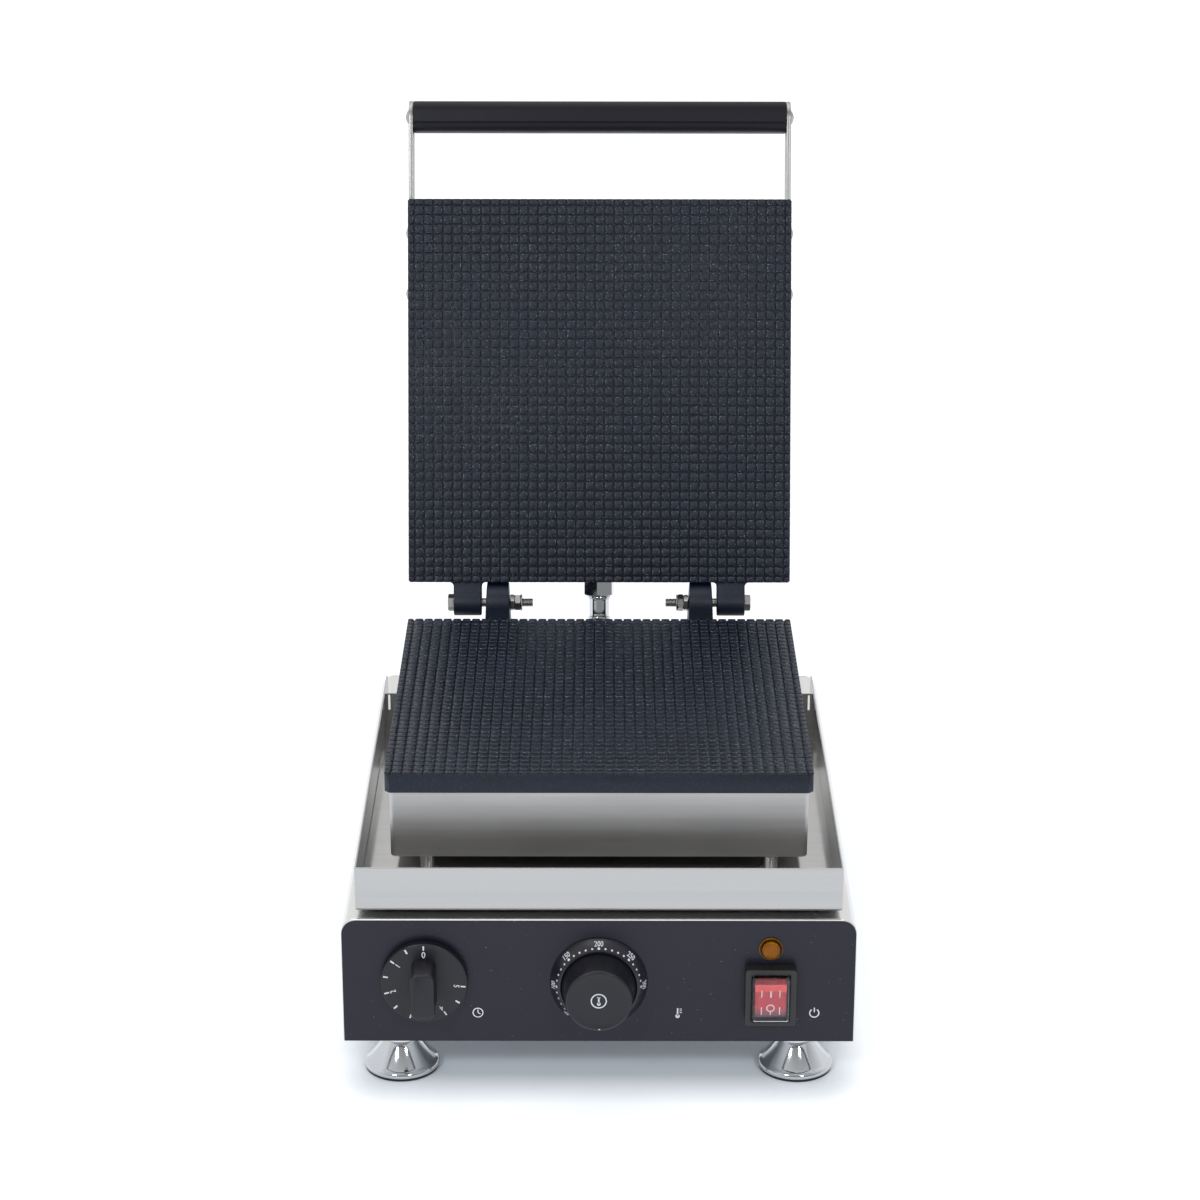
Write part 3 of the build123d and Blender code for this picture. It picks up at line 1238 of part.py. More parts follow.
def along_mains(start, end):
    """Two points on the mains gland's axis, by their distances behind the rear panel's face."""
    return (
        (MAINS_GLAND_X, HOUSING_DEPTH + start, MAINS_GLAND_Z),
        (MAINS_GLAND_X, HOUSING_DEPTH + end, MAINS_GLAND_Z),
    )


def make_mains_gland():
    """A cable gland in the rear panel, with its lock nut inside."""
    end = MAINS_GLAND_OUTSIDE
    start = end - MAINS_GLAND_LENGTH
    cap_end = end - MAINS_GLAND_COLLAR
    gland = rod(MAINS_GLAND_STEM_RADIUS, *along_mains(start, cap_end - OVERCUT))
    gland += hexagon(MAINS_GLAND_FLATS, *along_mains(0, MAINS_GLAND_FLANGE))
    cap_start = MAINS_GLAND_FLANGE + MAINS_GLAND_CAP_GAP
    gland += hexagon(MAINS_GLAND_FLATS - MAINS_GLAND_LIP, *along_mains(cap_start, cap_end))
    collar = Cone(
        (MAINS_GLAND_FLATS - MAINS_GLAND_LIP) / 2,
        MAINS_GLAND_BORE + MAINS_GLAND_LIP,
        MAINS_GLAND_COLLAR,
        align=(Align.CENTER, Align.CENTER, Align.MIN),
    )
    gland += Pos(*along_mains(cap_end, end)[0]) * Rot(-90, 0, 0) * collar
    gland += hexagon(MAINS_GLAND_FLATS, *along_mains(-PANEL_SHEET - MAINS_GLAND_NUT, -PANEL_SHEET))
    return gland - rod(MAINS_GLAND_BORE, *along_mains(start - OVERCUT, end + OVERCUT))


def make_terminal_block():
    """A block with a row of clamps for the wires, on the base plate near the gland."""
    low = HOUSING_BOTTOM + HOUSING_SHEET
    high = low + TERMINAL_HEIGHT
    front = HOUSING_DEPTH - TERMINAL_FROM_REAR
    left = MAINS_GLAND_X - TERMINAL_FROM_GLAND - TERMINAL_WIDTH / 2
    body = block((left, left + TERMINAL_WIDTH), (front, front + TERMINAL_DEPTH), (low, high))
    pitch = TERMINAL_WIDTH / TERMINAL_POLES
    for pole in range(TERMINAL_POLES):
        for row in (1, 3):
            place = (left + (pole + 0.5) * pitch, front + row * TERMINAL_DEPTH / 4)
            body -= upright(TERMINAL_SCREW_RADIUS, place, low + TERMINAL_HEIGHT / 2, high + OVERCUT)
    return body


# Every node and its solids

def write(node, solids, on_lid=False):
    """Writes one node at its place, with the object's middle at Y 0."""
    parts = solids if isinstance(solids, list) else [solids]
    placed = []
    for part in parts:
        for solid in part.solids():
            if on_lid:
                solid = open_lid(solid)
            solid = solid.translate((0, -CENTRE_Y, 0))
            placed.append(solid)
    for solid in placed:
        solid.label = node
    whole = placed[0] if len(placed) == 1 else Compound(children=placed)
    whole.label = node
    export_step(whole, f"parts/{node}.step")


def main():
    os.makedirs("parts", exist_ok=True)

    write("housing_cover", make_housing_cover())
    write("front_panel", make_front_panel())
    write("rear_panel", make_rear_panel())
    write("base_plate", make_base_plate())
    write("housing_screws", make_housing_screws())
    for node, (x, y) in FOOT_PLACES.items():
        write(node, make_foot(x, y))
    write("foot_pads", make_foot_pads())
    write("foot_nuts", make_foot_nuts())

    write("drip_tray", make_drip_tray())
    write("tray_buffers", make_tray_buffers())
    write("support_legs", make_support_legs())
    write("leg_nuts", make_leg_nuts())
    write("cable_duct", make_cable_duct())

    write("lower_plate", make_lower_plate())
    write("lower_casing", make_lower_casing())
    write("lower_heater", make_heater())
    write("lower_clamp", make_clamp())
    write("lower_clamp_screws", make_clamp_screws())
    write("lower_insulation", make_lower_insulation())

    write("hinge_bolt_left", make_hinge_bolt(-1))
    write("hinge_bolt_right", make_hinge_bolt(1))
    write("hinge_nuts", make_hinge_nuts())

    write("upper_plate", make_upper_plate(), on_lid=True)
    write("upper_casing", make_upper_casing(), on_lid=True)
    write("upper_casing_screws", make_casing_screws(), on_lid=True)
    write("upper_heater", mirrored_up(make_heater()), on_lid=True)
    write("upper_clamp", mirrored_up(make_clamp()), on_lid=True)
    write("upper_clamp_screws", [mirrored_up(screw) for screw in make_clamp_screws()], on_lid=True)
    write("upper_insulation", make_upper_insulation(), on_lid=True)
    write("lid_gland", make_lid_gland(), on_lid=True)
    write("handle_arm_left", make_handle_arm(-1), on_lid=True)
    write("handle_arm_right", make_handle_arm(1), on_lid=True)
    write("handle_bar", make_handle_bar(), on_lid=True)
    write("arm_screws", dome_screws(STUD_RADIUS, ARM_SCREW_LENGTH, arm_screw_places()), on_lid=True)
    write("handle_screws", dome_screws(BOLT_RADIUS, HANDLE_SCREW_LENGTH, [HANDLE_Y]), on_lid=True)
    write("conduit", make_conduit())
    write("conduit_bush", make_conduit_bush())

    write("timer_body", make_timer_body())
    write("timer_shaft", make_shaft(TIMER_X, TIMER_Z, TIMER_SKIRT_FRONT + TIMER_GRIP_HEIGHT))
    write("timer_knob", make_timer_knob())
    write("thermostat_body", make_thermostat_body())
    write("thermostat_spindle", make_shaft(THERMOSTAT_X, THERMOSTAT_Z, THERMOSTAT_KNOB_FRONT))
    write("thermostat_knob", make_thermostat_knob())
    write("thermostat_dial_ring", make_dial_ring())
    write("thermostat_bulb", make_thermostat_bulb())
    write("lamp_lens", make_lamp_lens())
    write("lamp_body", make_lamp_body())
    write("switch_frame", make_switch_frame())
    write("switch_hood", make_switch_hood())
    write("switch_rocker", make_switch_rocker())
    write("mains_gland", make_mains_gland())
    write("terminal_block", make_terminal_block())


main()
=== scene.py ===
import logging
from dataclasses import dataclass
from enum import Enum
from functools import lru_cache
from math import atan2, ceil, cos, pi, radians, sin, tan

import bmesh
import bpy
from mathutils import Euler, Matrix, Vector, noise


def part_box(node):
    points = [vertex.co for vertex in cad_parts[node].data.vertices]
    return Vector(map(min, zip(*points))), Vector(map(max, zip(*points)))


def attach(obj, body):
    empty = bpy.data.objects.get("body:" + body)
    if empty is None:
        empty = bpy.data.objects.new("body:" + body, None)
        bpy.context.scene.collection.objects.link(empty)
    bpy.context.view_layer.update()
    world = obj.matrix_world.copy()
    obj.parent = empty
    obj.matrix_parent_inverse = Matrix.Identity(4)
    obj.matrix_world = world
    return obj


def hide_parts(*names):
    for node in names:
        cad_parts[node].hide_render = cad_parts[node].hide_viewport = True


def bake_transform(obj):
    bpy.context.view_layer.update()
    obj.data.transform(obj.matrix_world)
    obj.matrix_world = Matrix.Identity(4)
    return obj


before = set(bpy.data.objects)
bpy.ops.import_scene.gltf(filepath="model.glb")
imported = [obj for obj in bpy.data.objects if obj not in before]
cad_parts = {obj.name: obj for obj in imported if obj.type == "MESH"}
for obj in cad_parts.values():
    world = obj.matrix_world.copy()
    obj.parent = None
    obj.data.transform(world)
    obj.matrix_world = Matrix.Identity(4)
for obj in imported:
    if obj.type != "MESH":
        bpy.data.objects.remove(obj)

LOG = logging.getLogger("waffle_iron")
Point = tuple[float, float, float]
Pair = tuple[float, float]
Colour = tuple[float, float, float]
Mesh, Material, Socket = bpy.types.Mesh, bpy.types.Material, bpy.types.NodeSocket

# Shapes are made in millimetres, with Y 0 at the front panel's face, and then moved to the
# frame's metres.
TO_FRAME = Matrix.Translation((0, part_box("front_panel")[0].y, 0)) @ Matrix.Scale(0.001, 4)
FROM_FRAME = TO_FRAME.inverted()
STILL = Matrix.Identity(4)
# Lays an outline drawn in X and Y into Y and Z, with its thickness along X.
ACROSS = Matrix.Rotation(pi / 2, 4, "Z") @ Matrix.Rotation(pi / 2, 4, "X")
# A brushed pattern's scales per metre, across its lines and along them.
FINE, LONG = 2600.0, 14.0
# The values between which most of a noise pattern lies.
NOISE_SPAN = (0.3, 0.7)
WHITE = (1.0, 1.0, 1.0, 1.0)
# Distances at which points are joined: in millimetres, and in the CAD meshes' metres.
WELD, CAD_WELD = 1e-4, 2e-6


class Grain(Enum):
    """The way that a brushed sheet's fine lines run, as scales of the pattern per metre."""

    ALONG_X = (LONG, FINE, FINE)
    ALONG_Y = (FINE, LONG, FINE)


class Facing(Enum):
    """Turns that set a body made along +Z against another face."""

    UP = (0.0, 0.0, 0.0)
    FRONT = (90.0, 0.0, 0.0)
    REAR = (-90.0, 0.0, 0.0)
    LEFT = (0.0, -90.0, 0.0)
    RIGHT = (0.0, 90.0, 0.0)

    def at(self, x: float, y: float, z: float) -> Matrix:
        """Returns the place of a body whose foot is at a point, in millimetres."""
        turn = Euler([radians(angle) for angle in self.value]).to_matrix().to_4x4()
        return Matrix.Translation((x, y, z)) @ turn


SIDES = ((-1, Facing.LEFT), (1, Facing.RIGHT))
NAMED_SIDES = ((-1, "left"), (1, "right"))


def upright(places: tuple, height: float = 0.0) -> list[Matrix]:
    """Returns the places of upright bodies, by their X and Y and one height."""
    return [Facing.UP.at(x, y, height) for x, y in places]


def feed(tree: bpy.types.NodeTree, socket: Socket, value: object) -> None:
    """Links a socket to a value's socket, or sets its value."""
    if isinstance(value, Socket):
        tree.links.new(value, socket)
    else:
        socket.default_value = value


def wire(tree: bpy.types.NodeTree, kind: str, inputs: dict, **settings: object) -> bpy.types.Node:
    """Adds a node to a tree.

    Args:
        tree: The tree.
        kind: The node's type.
        inputs: Values, sockets or lists of sockets, by input name or number.
        settings: The node's own properties.

    Returns:
        The node.
    """
    made = tree.nodes.new(kind)
    for key, value in settings.items():
        setattr(made, key, value)
    for key, value in inputs.items():
        for part in value if isinstance(value, list) else [value]:
            feed(tree, made.inputs[key], part)
    return made


def placed(name: str, data: object) -> bpy.types.Object:
    """Returns a new object of some data, linked to the scene."""
    made = bpy.data.objects.new(name, data)
    bpy.context.scene.collection.objects.link(made)
    return made


# Finishes


class Surface:
    """A material while its nodes are laid out."""

    def __init__(self, name: str, **constants: object) -> None:
        """Starts a material with one Principled shader.

        Args:
            name: The material's name.
            constants: Values for the shader's own sockets, with underscores for spaces.
        """
        self.material = bpy.data.materials.new(name)
        self.material.use_nodes = True
        self.tree = self.material.node_tree
        self.tree.nodes.clear()
        self.output = self.tree.nodes.new("ShaderNodeOutputMaterial")
        self.shader = self.tree.nodes.new("ShaderNodeBsdfPrincipled")
        self.tree.links.new(self.shader.outputs[0], self.output.inputs["Surface"])
        self.coordinates = self.tree.nodes.new("ShaderNodeTexCoord").outputs["Object"]
        for key, value in constants.items():
            self.shader.inputs[key.replace("_", " ")].default_value = value

    def add(self, kind: str, inputs: dict, **settings: object) -> bpy.types.Node:
        """Adds a node, with values or sockets for its inputs by name or number."""
        return wire(self.tree, kind, inputs, **settings)

    def attribute(self, name: str, output: str = "Fac") -> Socket:
        """Returns a mesh attribute's socket."""
        return self.add("ShaderNodeAttribute", {}, attribute_name=name).outputs[output]

    def vector(self, operation: str, *values: object, output: str = "Vector") -> Socket:
        """Returns a vector operation's result."""
        return self.add("ShaderNodeVectorMath", dict(enumerate(values)), operation=operation).outputs[output]

    def stretched(self, scale: Point, tilt: float = 0.0) -> Socket:
        """Scales the object's coordinates.

        Args:
            scale: Scales along X, Y and Z.
            tilt: Degrees about X by which the pattern is turned first.

        Returns:
            The coordinates' socket.
        """
        vector = self.coordinates
        if tilt:
            turned = {"Vector": vector, "Rotation": (radians(tilt), 0, 0)}
            vector = self.add("ShaderNodeMapping", turned).outputs[0]
        return self.add("ShaderNodeMapping", {"Vector": vector, "Scale": scale}).outputs[0]

    def noise(self, scale: float, vector: object = None, detail: float = 3.0) -> Socket:
        """Returns a noise pattern's value, from 0 to 1."""
        inputs = {"Vector": vector or self.coordinates, "Scale": scale, "Detail": detail}
        return self.add("ShaderNodeTexNoise", inputs).outputs[0]

    def band(self, value: object, low: float, high: float, start: float, end: float) -> Socket:
        """Returns a value mapped from low and high to start and end, and held there beyond."""
        inputs = {"Value": value, "From Min": low, "From Max": high, "To Min": start, "To Max": end}
        return self.add("ShaderNodeMapRange", inputs).outputs[0]

    def spread(self, pattern: Socket, start: float = 0.0, end: float = 1.0) -> Socket:
        """Returns a noise pattern's usual values mapped to start and end."""
        return self.band(pattern, *NOISE_SPAN, start, end)

    def toned(self, pattern: Socket, colour: Colour, low: float, high: float) -> Socket:
        """Returns a colour made darker and lighter by a noise pattern."""
        return self.mixed(self.spread(pattern), shade(colour, low), shade(colour, high))

    def total(self, first: object, second: object, operation: str = "ADD") -> Socket:
        """Returns two values added, or put together by another operation."""
        return self.add("ShaderNodeMath", {0: first, 1: second}, operation=operation).outputs[0]

    def mixed(self, share: object, first: object, second: object) -> Socket:
        """Returns a colour between two colours."""
        inputs = {0: share, 6: opaque(first), 7: opaque(second)}
        return self.add("ShaderNodeMix", inputs, data_type="RGBA").outputs[2]

    def bump(self, height: object, distance: float, strength: float = 1.0, under: object = None) -> Socket:
        """Returns the normal of a surface raised by a pattern, by a distance in metres."""
        inputs = {"Height": height, "Distance": distance, "Strength": strength}
        if under is not None:
            inputs["Normal"] = under
        return self.add("ShaderNodeBump", inputs).outputs[0]

    def finish(self, **sockets: object) -> Material:
        """Links the shader's sockets, with underscores for spaces, and returns the material."""
        for key, value in sockets.items():
            feed(self.tree, self.shader.inputs[key.replace("_", " ")], value)
        return self.material


def opaque(colour: object) -> object:
    """Returns a colour with an alpha of 1, or a socket as it is."""
    return colour if isinstance(colour, Socket) else (*colour, 1.0)


def shade(colour: Colour, factor: float) -> Colour:
    """Returns a colour made lighter or darker."""
    return tuple(min(1.0, part * factor) for part in colour)


@dataclass(frozen=True)
class BrushedSteel:
    """Stainless sheet with fine brushed lines and faint smudges."""

    name: str = "steel"
    slot: str = "stainless"
    colour: Colour = (0.60, 0.595, 0.575)
    roughness: float = 0.24
    grain: Grain = Grain.ALONG_X
    tilt: float = 0.0
    depth: float = 0.000004
    metallic: float = 1.0

    def material(self) -> Material:
        """Returns the finish's material."""
        surface = Surface(self.name, Metallic=self.metallic)
        lines = surface.noise(1.0, self.laid(surface, 1.0), 4.0)
        smudges = surface.noise(16.0)
        streaks = surface.noise(1.0, self.laid(surface, 12.0), 2.0)
        rough = surface.spread(lines, self.roughness * 0.88, self.roughness * 1.16)
        rough = surface.total(rough, surface.band(smudges, 0.35, 0.7, -0.01, 0.035))
        tone = surface.toned(streaks, self.colour, 0.96, 1.03)
        return surface.finish(Base_Color=tone, Roughness=rough, Normal=surface.bump(lines, self.depth))

    def laid(self, surface: Surface, coarse: float) -> Socket:
        """Returns the grain's coordinates, made coarser, and front to rear on faces that look sideways."""
        side = surface.attribute("side")
        ways = [tuple(part / coarse for part in grain.value) for grain in (self.grain, Grain.ALONG_Y)]
        inputs = {0: side, 4: surface.stretched(ways[0], self.tilt), 5: surface.stretched(ways[1], self.tilt)}
        return surface.add("ShaderNodeMix", inputs, data_type="VECTOR").outputs[1]


@dataclass(frozen=True)
class Plating:
    """Plated or bare metal: bright chrome, zinc, copper or heater tube, by its values."""

    name: str
    slot: str
    colour: Colour
    tint: Colour
    roughness: float
    patches: float = 60.0
    depth: float = 0.00001

    def material(self) -> Material:
        """Returns the finish's material."""
        surface = Surface(self.name, Metallic=1.0)
        clouds = surface.noise(self.patches)
        fine = surface.noise(2200.0, detail=2.0)
        rough = surface.spread(clouds, self.roughness * 0.8, self.roughness * 1.3)
        tone = surface.mixed(surface.band(clouds, 0.35, 0.75, 0.0, 1.0), self.colour, self.tint)
        return surface.finish(Base_Color=tone, Roughness=rough, Normal=surface.bump(fine, self.depth))


@dataclass(frozen=True)
class CoatedIron:
    """Cast iron with a dark non-stick coat: fine grain, painted glints as pale specks near the squares' rims,
    and painted shade in the grooves.
    """

    name: str = "coated_iron"
    slot: str = "baking_iron"
    colour: Colour = (0.0060, 0.0102, 0.0240)
    # The colour of the painted glints near the squares' rims.
    speck: Colour = (0.18, 0.23, 0.30)
    roughness: float = 0.43
    specular: float = 0.36
    # Between a square's middle, 0, and its rim, 0.5: where the painted glints begin and end, and their shares
    # there.
    worn: tuple = (0.27, 0.40, 0.06, 1.0)
    # The share of fine noise that shows as painted glint specks.
    speck_span: Pair = (0.57, 0.66)

    def material(self) -> Material:
        """Returns the finish's material."""
        surface = Surface(self.name, Specular_IOR_Level=self.specular)
        clouds = surface.noise(22.0)
        grain = surface.noise(2600.0, detail=3.0)
        coarse = surface.noise(620.0, detail=4.0)
        tone = surface.toned(clouds, self.colour, 0.85, 1.2)
        # Painted shade: faces that the mesh marks as down in the grooves are mixed towards a much darker
        # colour.
        deep = surface.attribute("deep")
        tone = surface.mixed(deep, tone, shade(self.colour, 0.3))
        # Painted glints: pale specks near each square's rim stand in for the light that its rounded edges
        # catch.
        spot = surface.vector("FRACTION", surface.attribute("spot", "Vector"))
        spot = surface.vector("ABSOLUTE", surface.vector("SUBTRACT", spot, (0.5, 0.5, 0.5)))
        aside = surface.add("ShaderNodeSeparateXYZ", {0: spot}).outputs
        worn = surface.band(surface.total(aside[0], aside[1], "MAXIMUM"), *self.worn)
        speck = surface.band(surface.noise(1000.0, detail=2.0), *self.speck_span, 0.0, 1.0)
        tone = surface.mixed(surface.total(speck, worn, "MULTIPLY"), tone, self.speck)
        rough = surface.spread(clouds, self.roughness - 0.05, self.roughness + 0.06)
        raised = surface.bump(coarse, 0.00012, 0.55)
        fine = surface.bump(grain, 0.00005, 0.5, raised)
        return surface.finish(Base_Color=tone, Roughness=rough, Normal=fine)


@dataclass(frozen=True)
class Moulding:
    """Plastic, rubber or a powder coat: a colour, a fine texture and sparse dust."""

    name: str
    slot: str
    colour: Colour
    roughness: float = 0.42
    texture: float = 1500.0
    depth: float = 0.00003
    dust: float = 0.0
    dust_colour: Colour = (0.35, 0.36, 0.38)
    specular: float = 0.5

    def material(self) -> Material:
        """Returns the finish's material."""
        surface = Surface(self.name, Specular_IOR_Level=self.specular)
        clouds = surface.noise(30.0)
        fine = surface.noise(self.texture, detail=3.0)
        tone = surface.toned(clouds, self.colour, 0.9, 1.12)
        if self.dust:
            specks = surface.noise(760.0, detail=1.0)
            dusty = surface.band(specks, 0.80 - self.dust, 0.83 - self.dust, 0.0, 0.8)
            tone = surface.mixed(dusty, tone, self.dust_colour)
        rough = surface.spread(clouds, self.roughness - 0.04, self.roughness + 0.05)
        return surface.finish(Base_Color=tone, Roughness=rough, Normal=surface.bump(fine, self.depth))


@dataclass(frozen=True)
class Lens:
    """Coloured clear plastic."""

    name: str
    slot: str
    colour: Colour
    deep: Colour
    transmission: float = 0.5
    roughness: float = 0.1
    ior: float = 1.49
    specular: float = 0.5

    def material(self) -> Material:
        """Returns the finish's material."""
        surface = Surface(
            self.name, Transmission_Weight=self.transmission, IOR=self.ior, Specular_IOR_Level=self.specular,
        )
        clouds = surface.noise(140.0)
        tone = surface.mixed(surface.spread(clouds), self.colour, self.deep)
        rough = surface.spread(clouds, self.roughness * 0.7, self.roughness * 1.4)
        fine = surface.bump(surface.noise(900.0, detail=2.0), 0.00002)
        return surface.finish(Base_Color=tone, Roughness=rough, Normal=fine)


@dataclass(frozen=True)
class BandedPlastic:
    """Translucent plastic with painted light and shade: colour bands, lighter, darker or duller, between
    given heights.
    """

    name: str
    slot: str
    colour: Colour
    bands: tuple
    roughness: float = 0.28

    def material(self) -> Material:
        """Returns the finish's material."""
        surface = Surface(self.name, Specular_IOR_Level=0.5)
        height = surface.add("ShaderNodeSeparateXYZ", {0: surface.coordinates}).outputs["Z"]
        tone = surface.mixed(surface.noise(60.0), shade(self.colour, 0.94), shade(self.colour, 1.06))
        # Each band paints light or shade onto the rocker by its height.
        for start, edge, colour in self.bands:
            tone = surface.mixed(surface.band(height, start - edge, start + edge, 0.0, 1.0), tone, colour)
        rough = surface.spread(surface.noise(90.0), self.roughness - 0.04, self.roughness + 0.04)
        fine = surface.bump(surface.noise(1200.0), 0.00001)
        return surface.finish(Base_Color=tone, Roughness=rough, Normal=fine)


@dataclass(frozen=True)
class MineralWool:
    """Loose pressed fibres."""

    name: str = "wool"
    slot: str = "mineral_wool"
    colour: Colour = (0.52, 0.49, 0.38)

    def material(self) -> Material:
        """Returns the finish's material."""
        surface = Surface(self.name, Roughness=0.95, Sheen_Weight=0.3)
        lay = surface.noise(1.0, surface.stretched((60.0, 60.0, 900.0)), 5.0)
        fibres = surface.noise(1300.0, detail=5.0)
        tone = surface.mixed(lay, shade(self.colour, 0.7), shade(self.colour, 1.2))
        return surface.finish(Base_Color=tone, Normal=surface.bump(surface.total(lay, fibres), 0.0006))


STEEL_X = BrushedSteel("steel_across", roughness=0.34)
STEEL_Y = BrushedSteel(
    "steel_front_to_rear", colour=(0.72, 0.72, 0.71), roughness=0.16, grain=Grain.ALONG_Y, depth=0.0000015,
    metallic=0.88,
)
TRAY_STEEL = BrushedSteel(
    "tray_steel", colour=(0.485, 0.48, 0.475), roughness=0.12, depth=0.000002, metallic=0.80,
)
CASING_STEEL = BrushedSteel("casing_steel", colour=(0.515, 0.51, 0.505), roughness=0.45)
LID_STEEL = BrushedSteel("lid_steel", colour=(0.52, 0.52, 0.51), roughness=0.34, tilt=107.1)
ARM_STEEL = BrushedSteel(
    "arm_steel", colour=(0.34, 0.34, 0.335), roughness=0.36, grain=Grain.ALONG_Y, tilt=107.1,
)
CHROME = Plating("chrome", "chrome", (0.61, 0.63, 0.655), (0.56, 0.58, 0.61), 0.09, 35.0, 0.000004)
ZINC = Plating("zinc", "zinc", (0.68, 0.68, 0.66), (0.60, 0.585, 0.53), 0.27, 180.0)
COPPER = Plating("copper", "copper_bulb", (0.78, 0.40, 0.25), (0.55, 0.27, 0.17), 0.3)
DULL_ZINC = Plating("dull_zinc", "zinc", (0.46, 0.455, 0.44), (0.31, 0.305, 0.295), 0.32, 260.0)
HEATER = Plating("heater_tube", "heater_tube", (0.24, 0.22, 0.20), (0.16, 0.14, 0.15), 0.42)
HOSE = Plating("hose_steel", "conduit_steel", (0.52, 0.52, 0.51), (0.44, 0.44, 0.43), 0.32, 90.0)
IRON = CoatedIron()
PANEL = Moulding(
    "panel_coat", "panel_black", (0.0092, 0.0090, 0.0200), 0.36, 1100.0, 0.000035, 0.012, specular=0.38,
)
HANDLE_BLACK = Moulding(
    "handle_plastic", "handle_black", (0.0075, 0.0075, 0.0125), 0.48, 900.0, 0.00002, specular=0.23,
)
KNOB_BLACK = Moulding(
    "knob_plastic", "knob_black", (0.0100, 0.0105, 0.0155), 0.36, 1400.0, 0.00002, specular=0.42,
)
DIAL_BLACK = Moulding("dial_plastic", "dial_black", (0.0100, 0.0100, 0.0170), 0.30, 1600.0, 0.000015)
SWITCH_BLACK = Moulding("switch_plastic", "switch_black", (0.016, 0.016, 0.017), 0.38, 1500.0, 0.00002)
BUSH_BLACK = Moulding("bush_plastic", "bush_black", (0.02, 0.02, 0.021), 0.5, 1300.0, 0.00003)
RUBBER = Moulding("rubber", "pad_rubber", (0.012, 0.012, 0.02), 0.7, 900.0, 0.00008)
BAKELITE = Moulding("bakelite", "mechanism", (0.16, 0.13, 0.10), 0.4, 1000.0, 0.00003)
# The rocker's bands are painted light: its upper face lighter, a bright salmon band as a painted highlight,
# and a dark band at its top as painted shade.
ROCKER_RED = BandedPlastic(
    "rocker_red", "rocker_red", (0.20, 0.085, 0.12), (
        (0.0585, 0.0028, (0.62, 0.045, 0.065)),
        (0.0728, 0.0004, (1.0, 0.13, 0.14)),
        (0.0782, 0.0004, (0.30, 0.004, 0.014)),
    ),
)
PANEL_INK = Moulding("panel_ink", "panel_black", (0.88, 0.90, 0.95), 0.55, 1500.0, 0.00001)
KNOB_INK = Moulding("knob_ink", "knob_black", (0.86, 0.88, 0.92), 0.55, 1500.0, 0.00001)
DIAL_INK = Moulding("dial_ink", "dial_black", (0.80, 0.82, 0.88), 0.55, 1500.0, 0.00001)
ROCKER_INK = Moulding("rocker_ink", "rocker_red", (1.0, 0.84, 0.82), 0.5, 1500.0, 0.00001)
AMBER = Lens("amber_lens", "amber_lens", (0.37, 0.125, 0.0015), (0.27, 0.08, 0.001), 0.1, 0.05, specular=0.14)
# Painted highlight: the pale amber of the rings that stand in for the lens's edge glints.
AMBER_HIGHLIGHT = Lens("amber_rim", "amber_lens", (0.56, 0.27, 0.005), (0.30, 0.13, 0.002), 0.1, 0.10, specular=0.3)
AMBER_DEEP = Lens(
    "amber_deep", "amber_lens", (0.10, 0.030, 0.001), (0.05, 0.013, 0.001), 0.1, 0.08, specular=0.2,
)
CLEAR = Lens("hood_clear", "hood_clear", (1.0, 1.0, 1.0), (0.99, 0.99, 1.0), 1.0, 0.012, 1.32)
WOOL = MineralWool()


@lru_cache(maxsize=None)
def dressed(finish: object) -> Material:
    """Returns a finish's material, made once."""
    return finish.material()


# Shapes


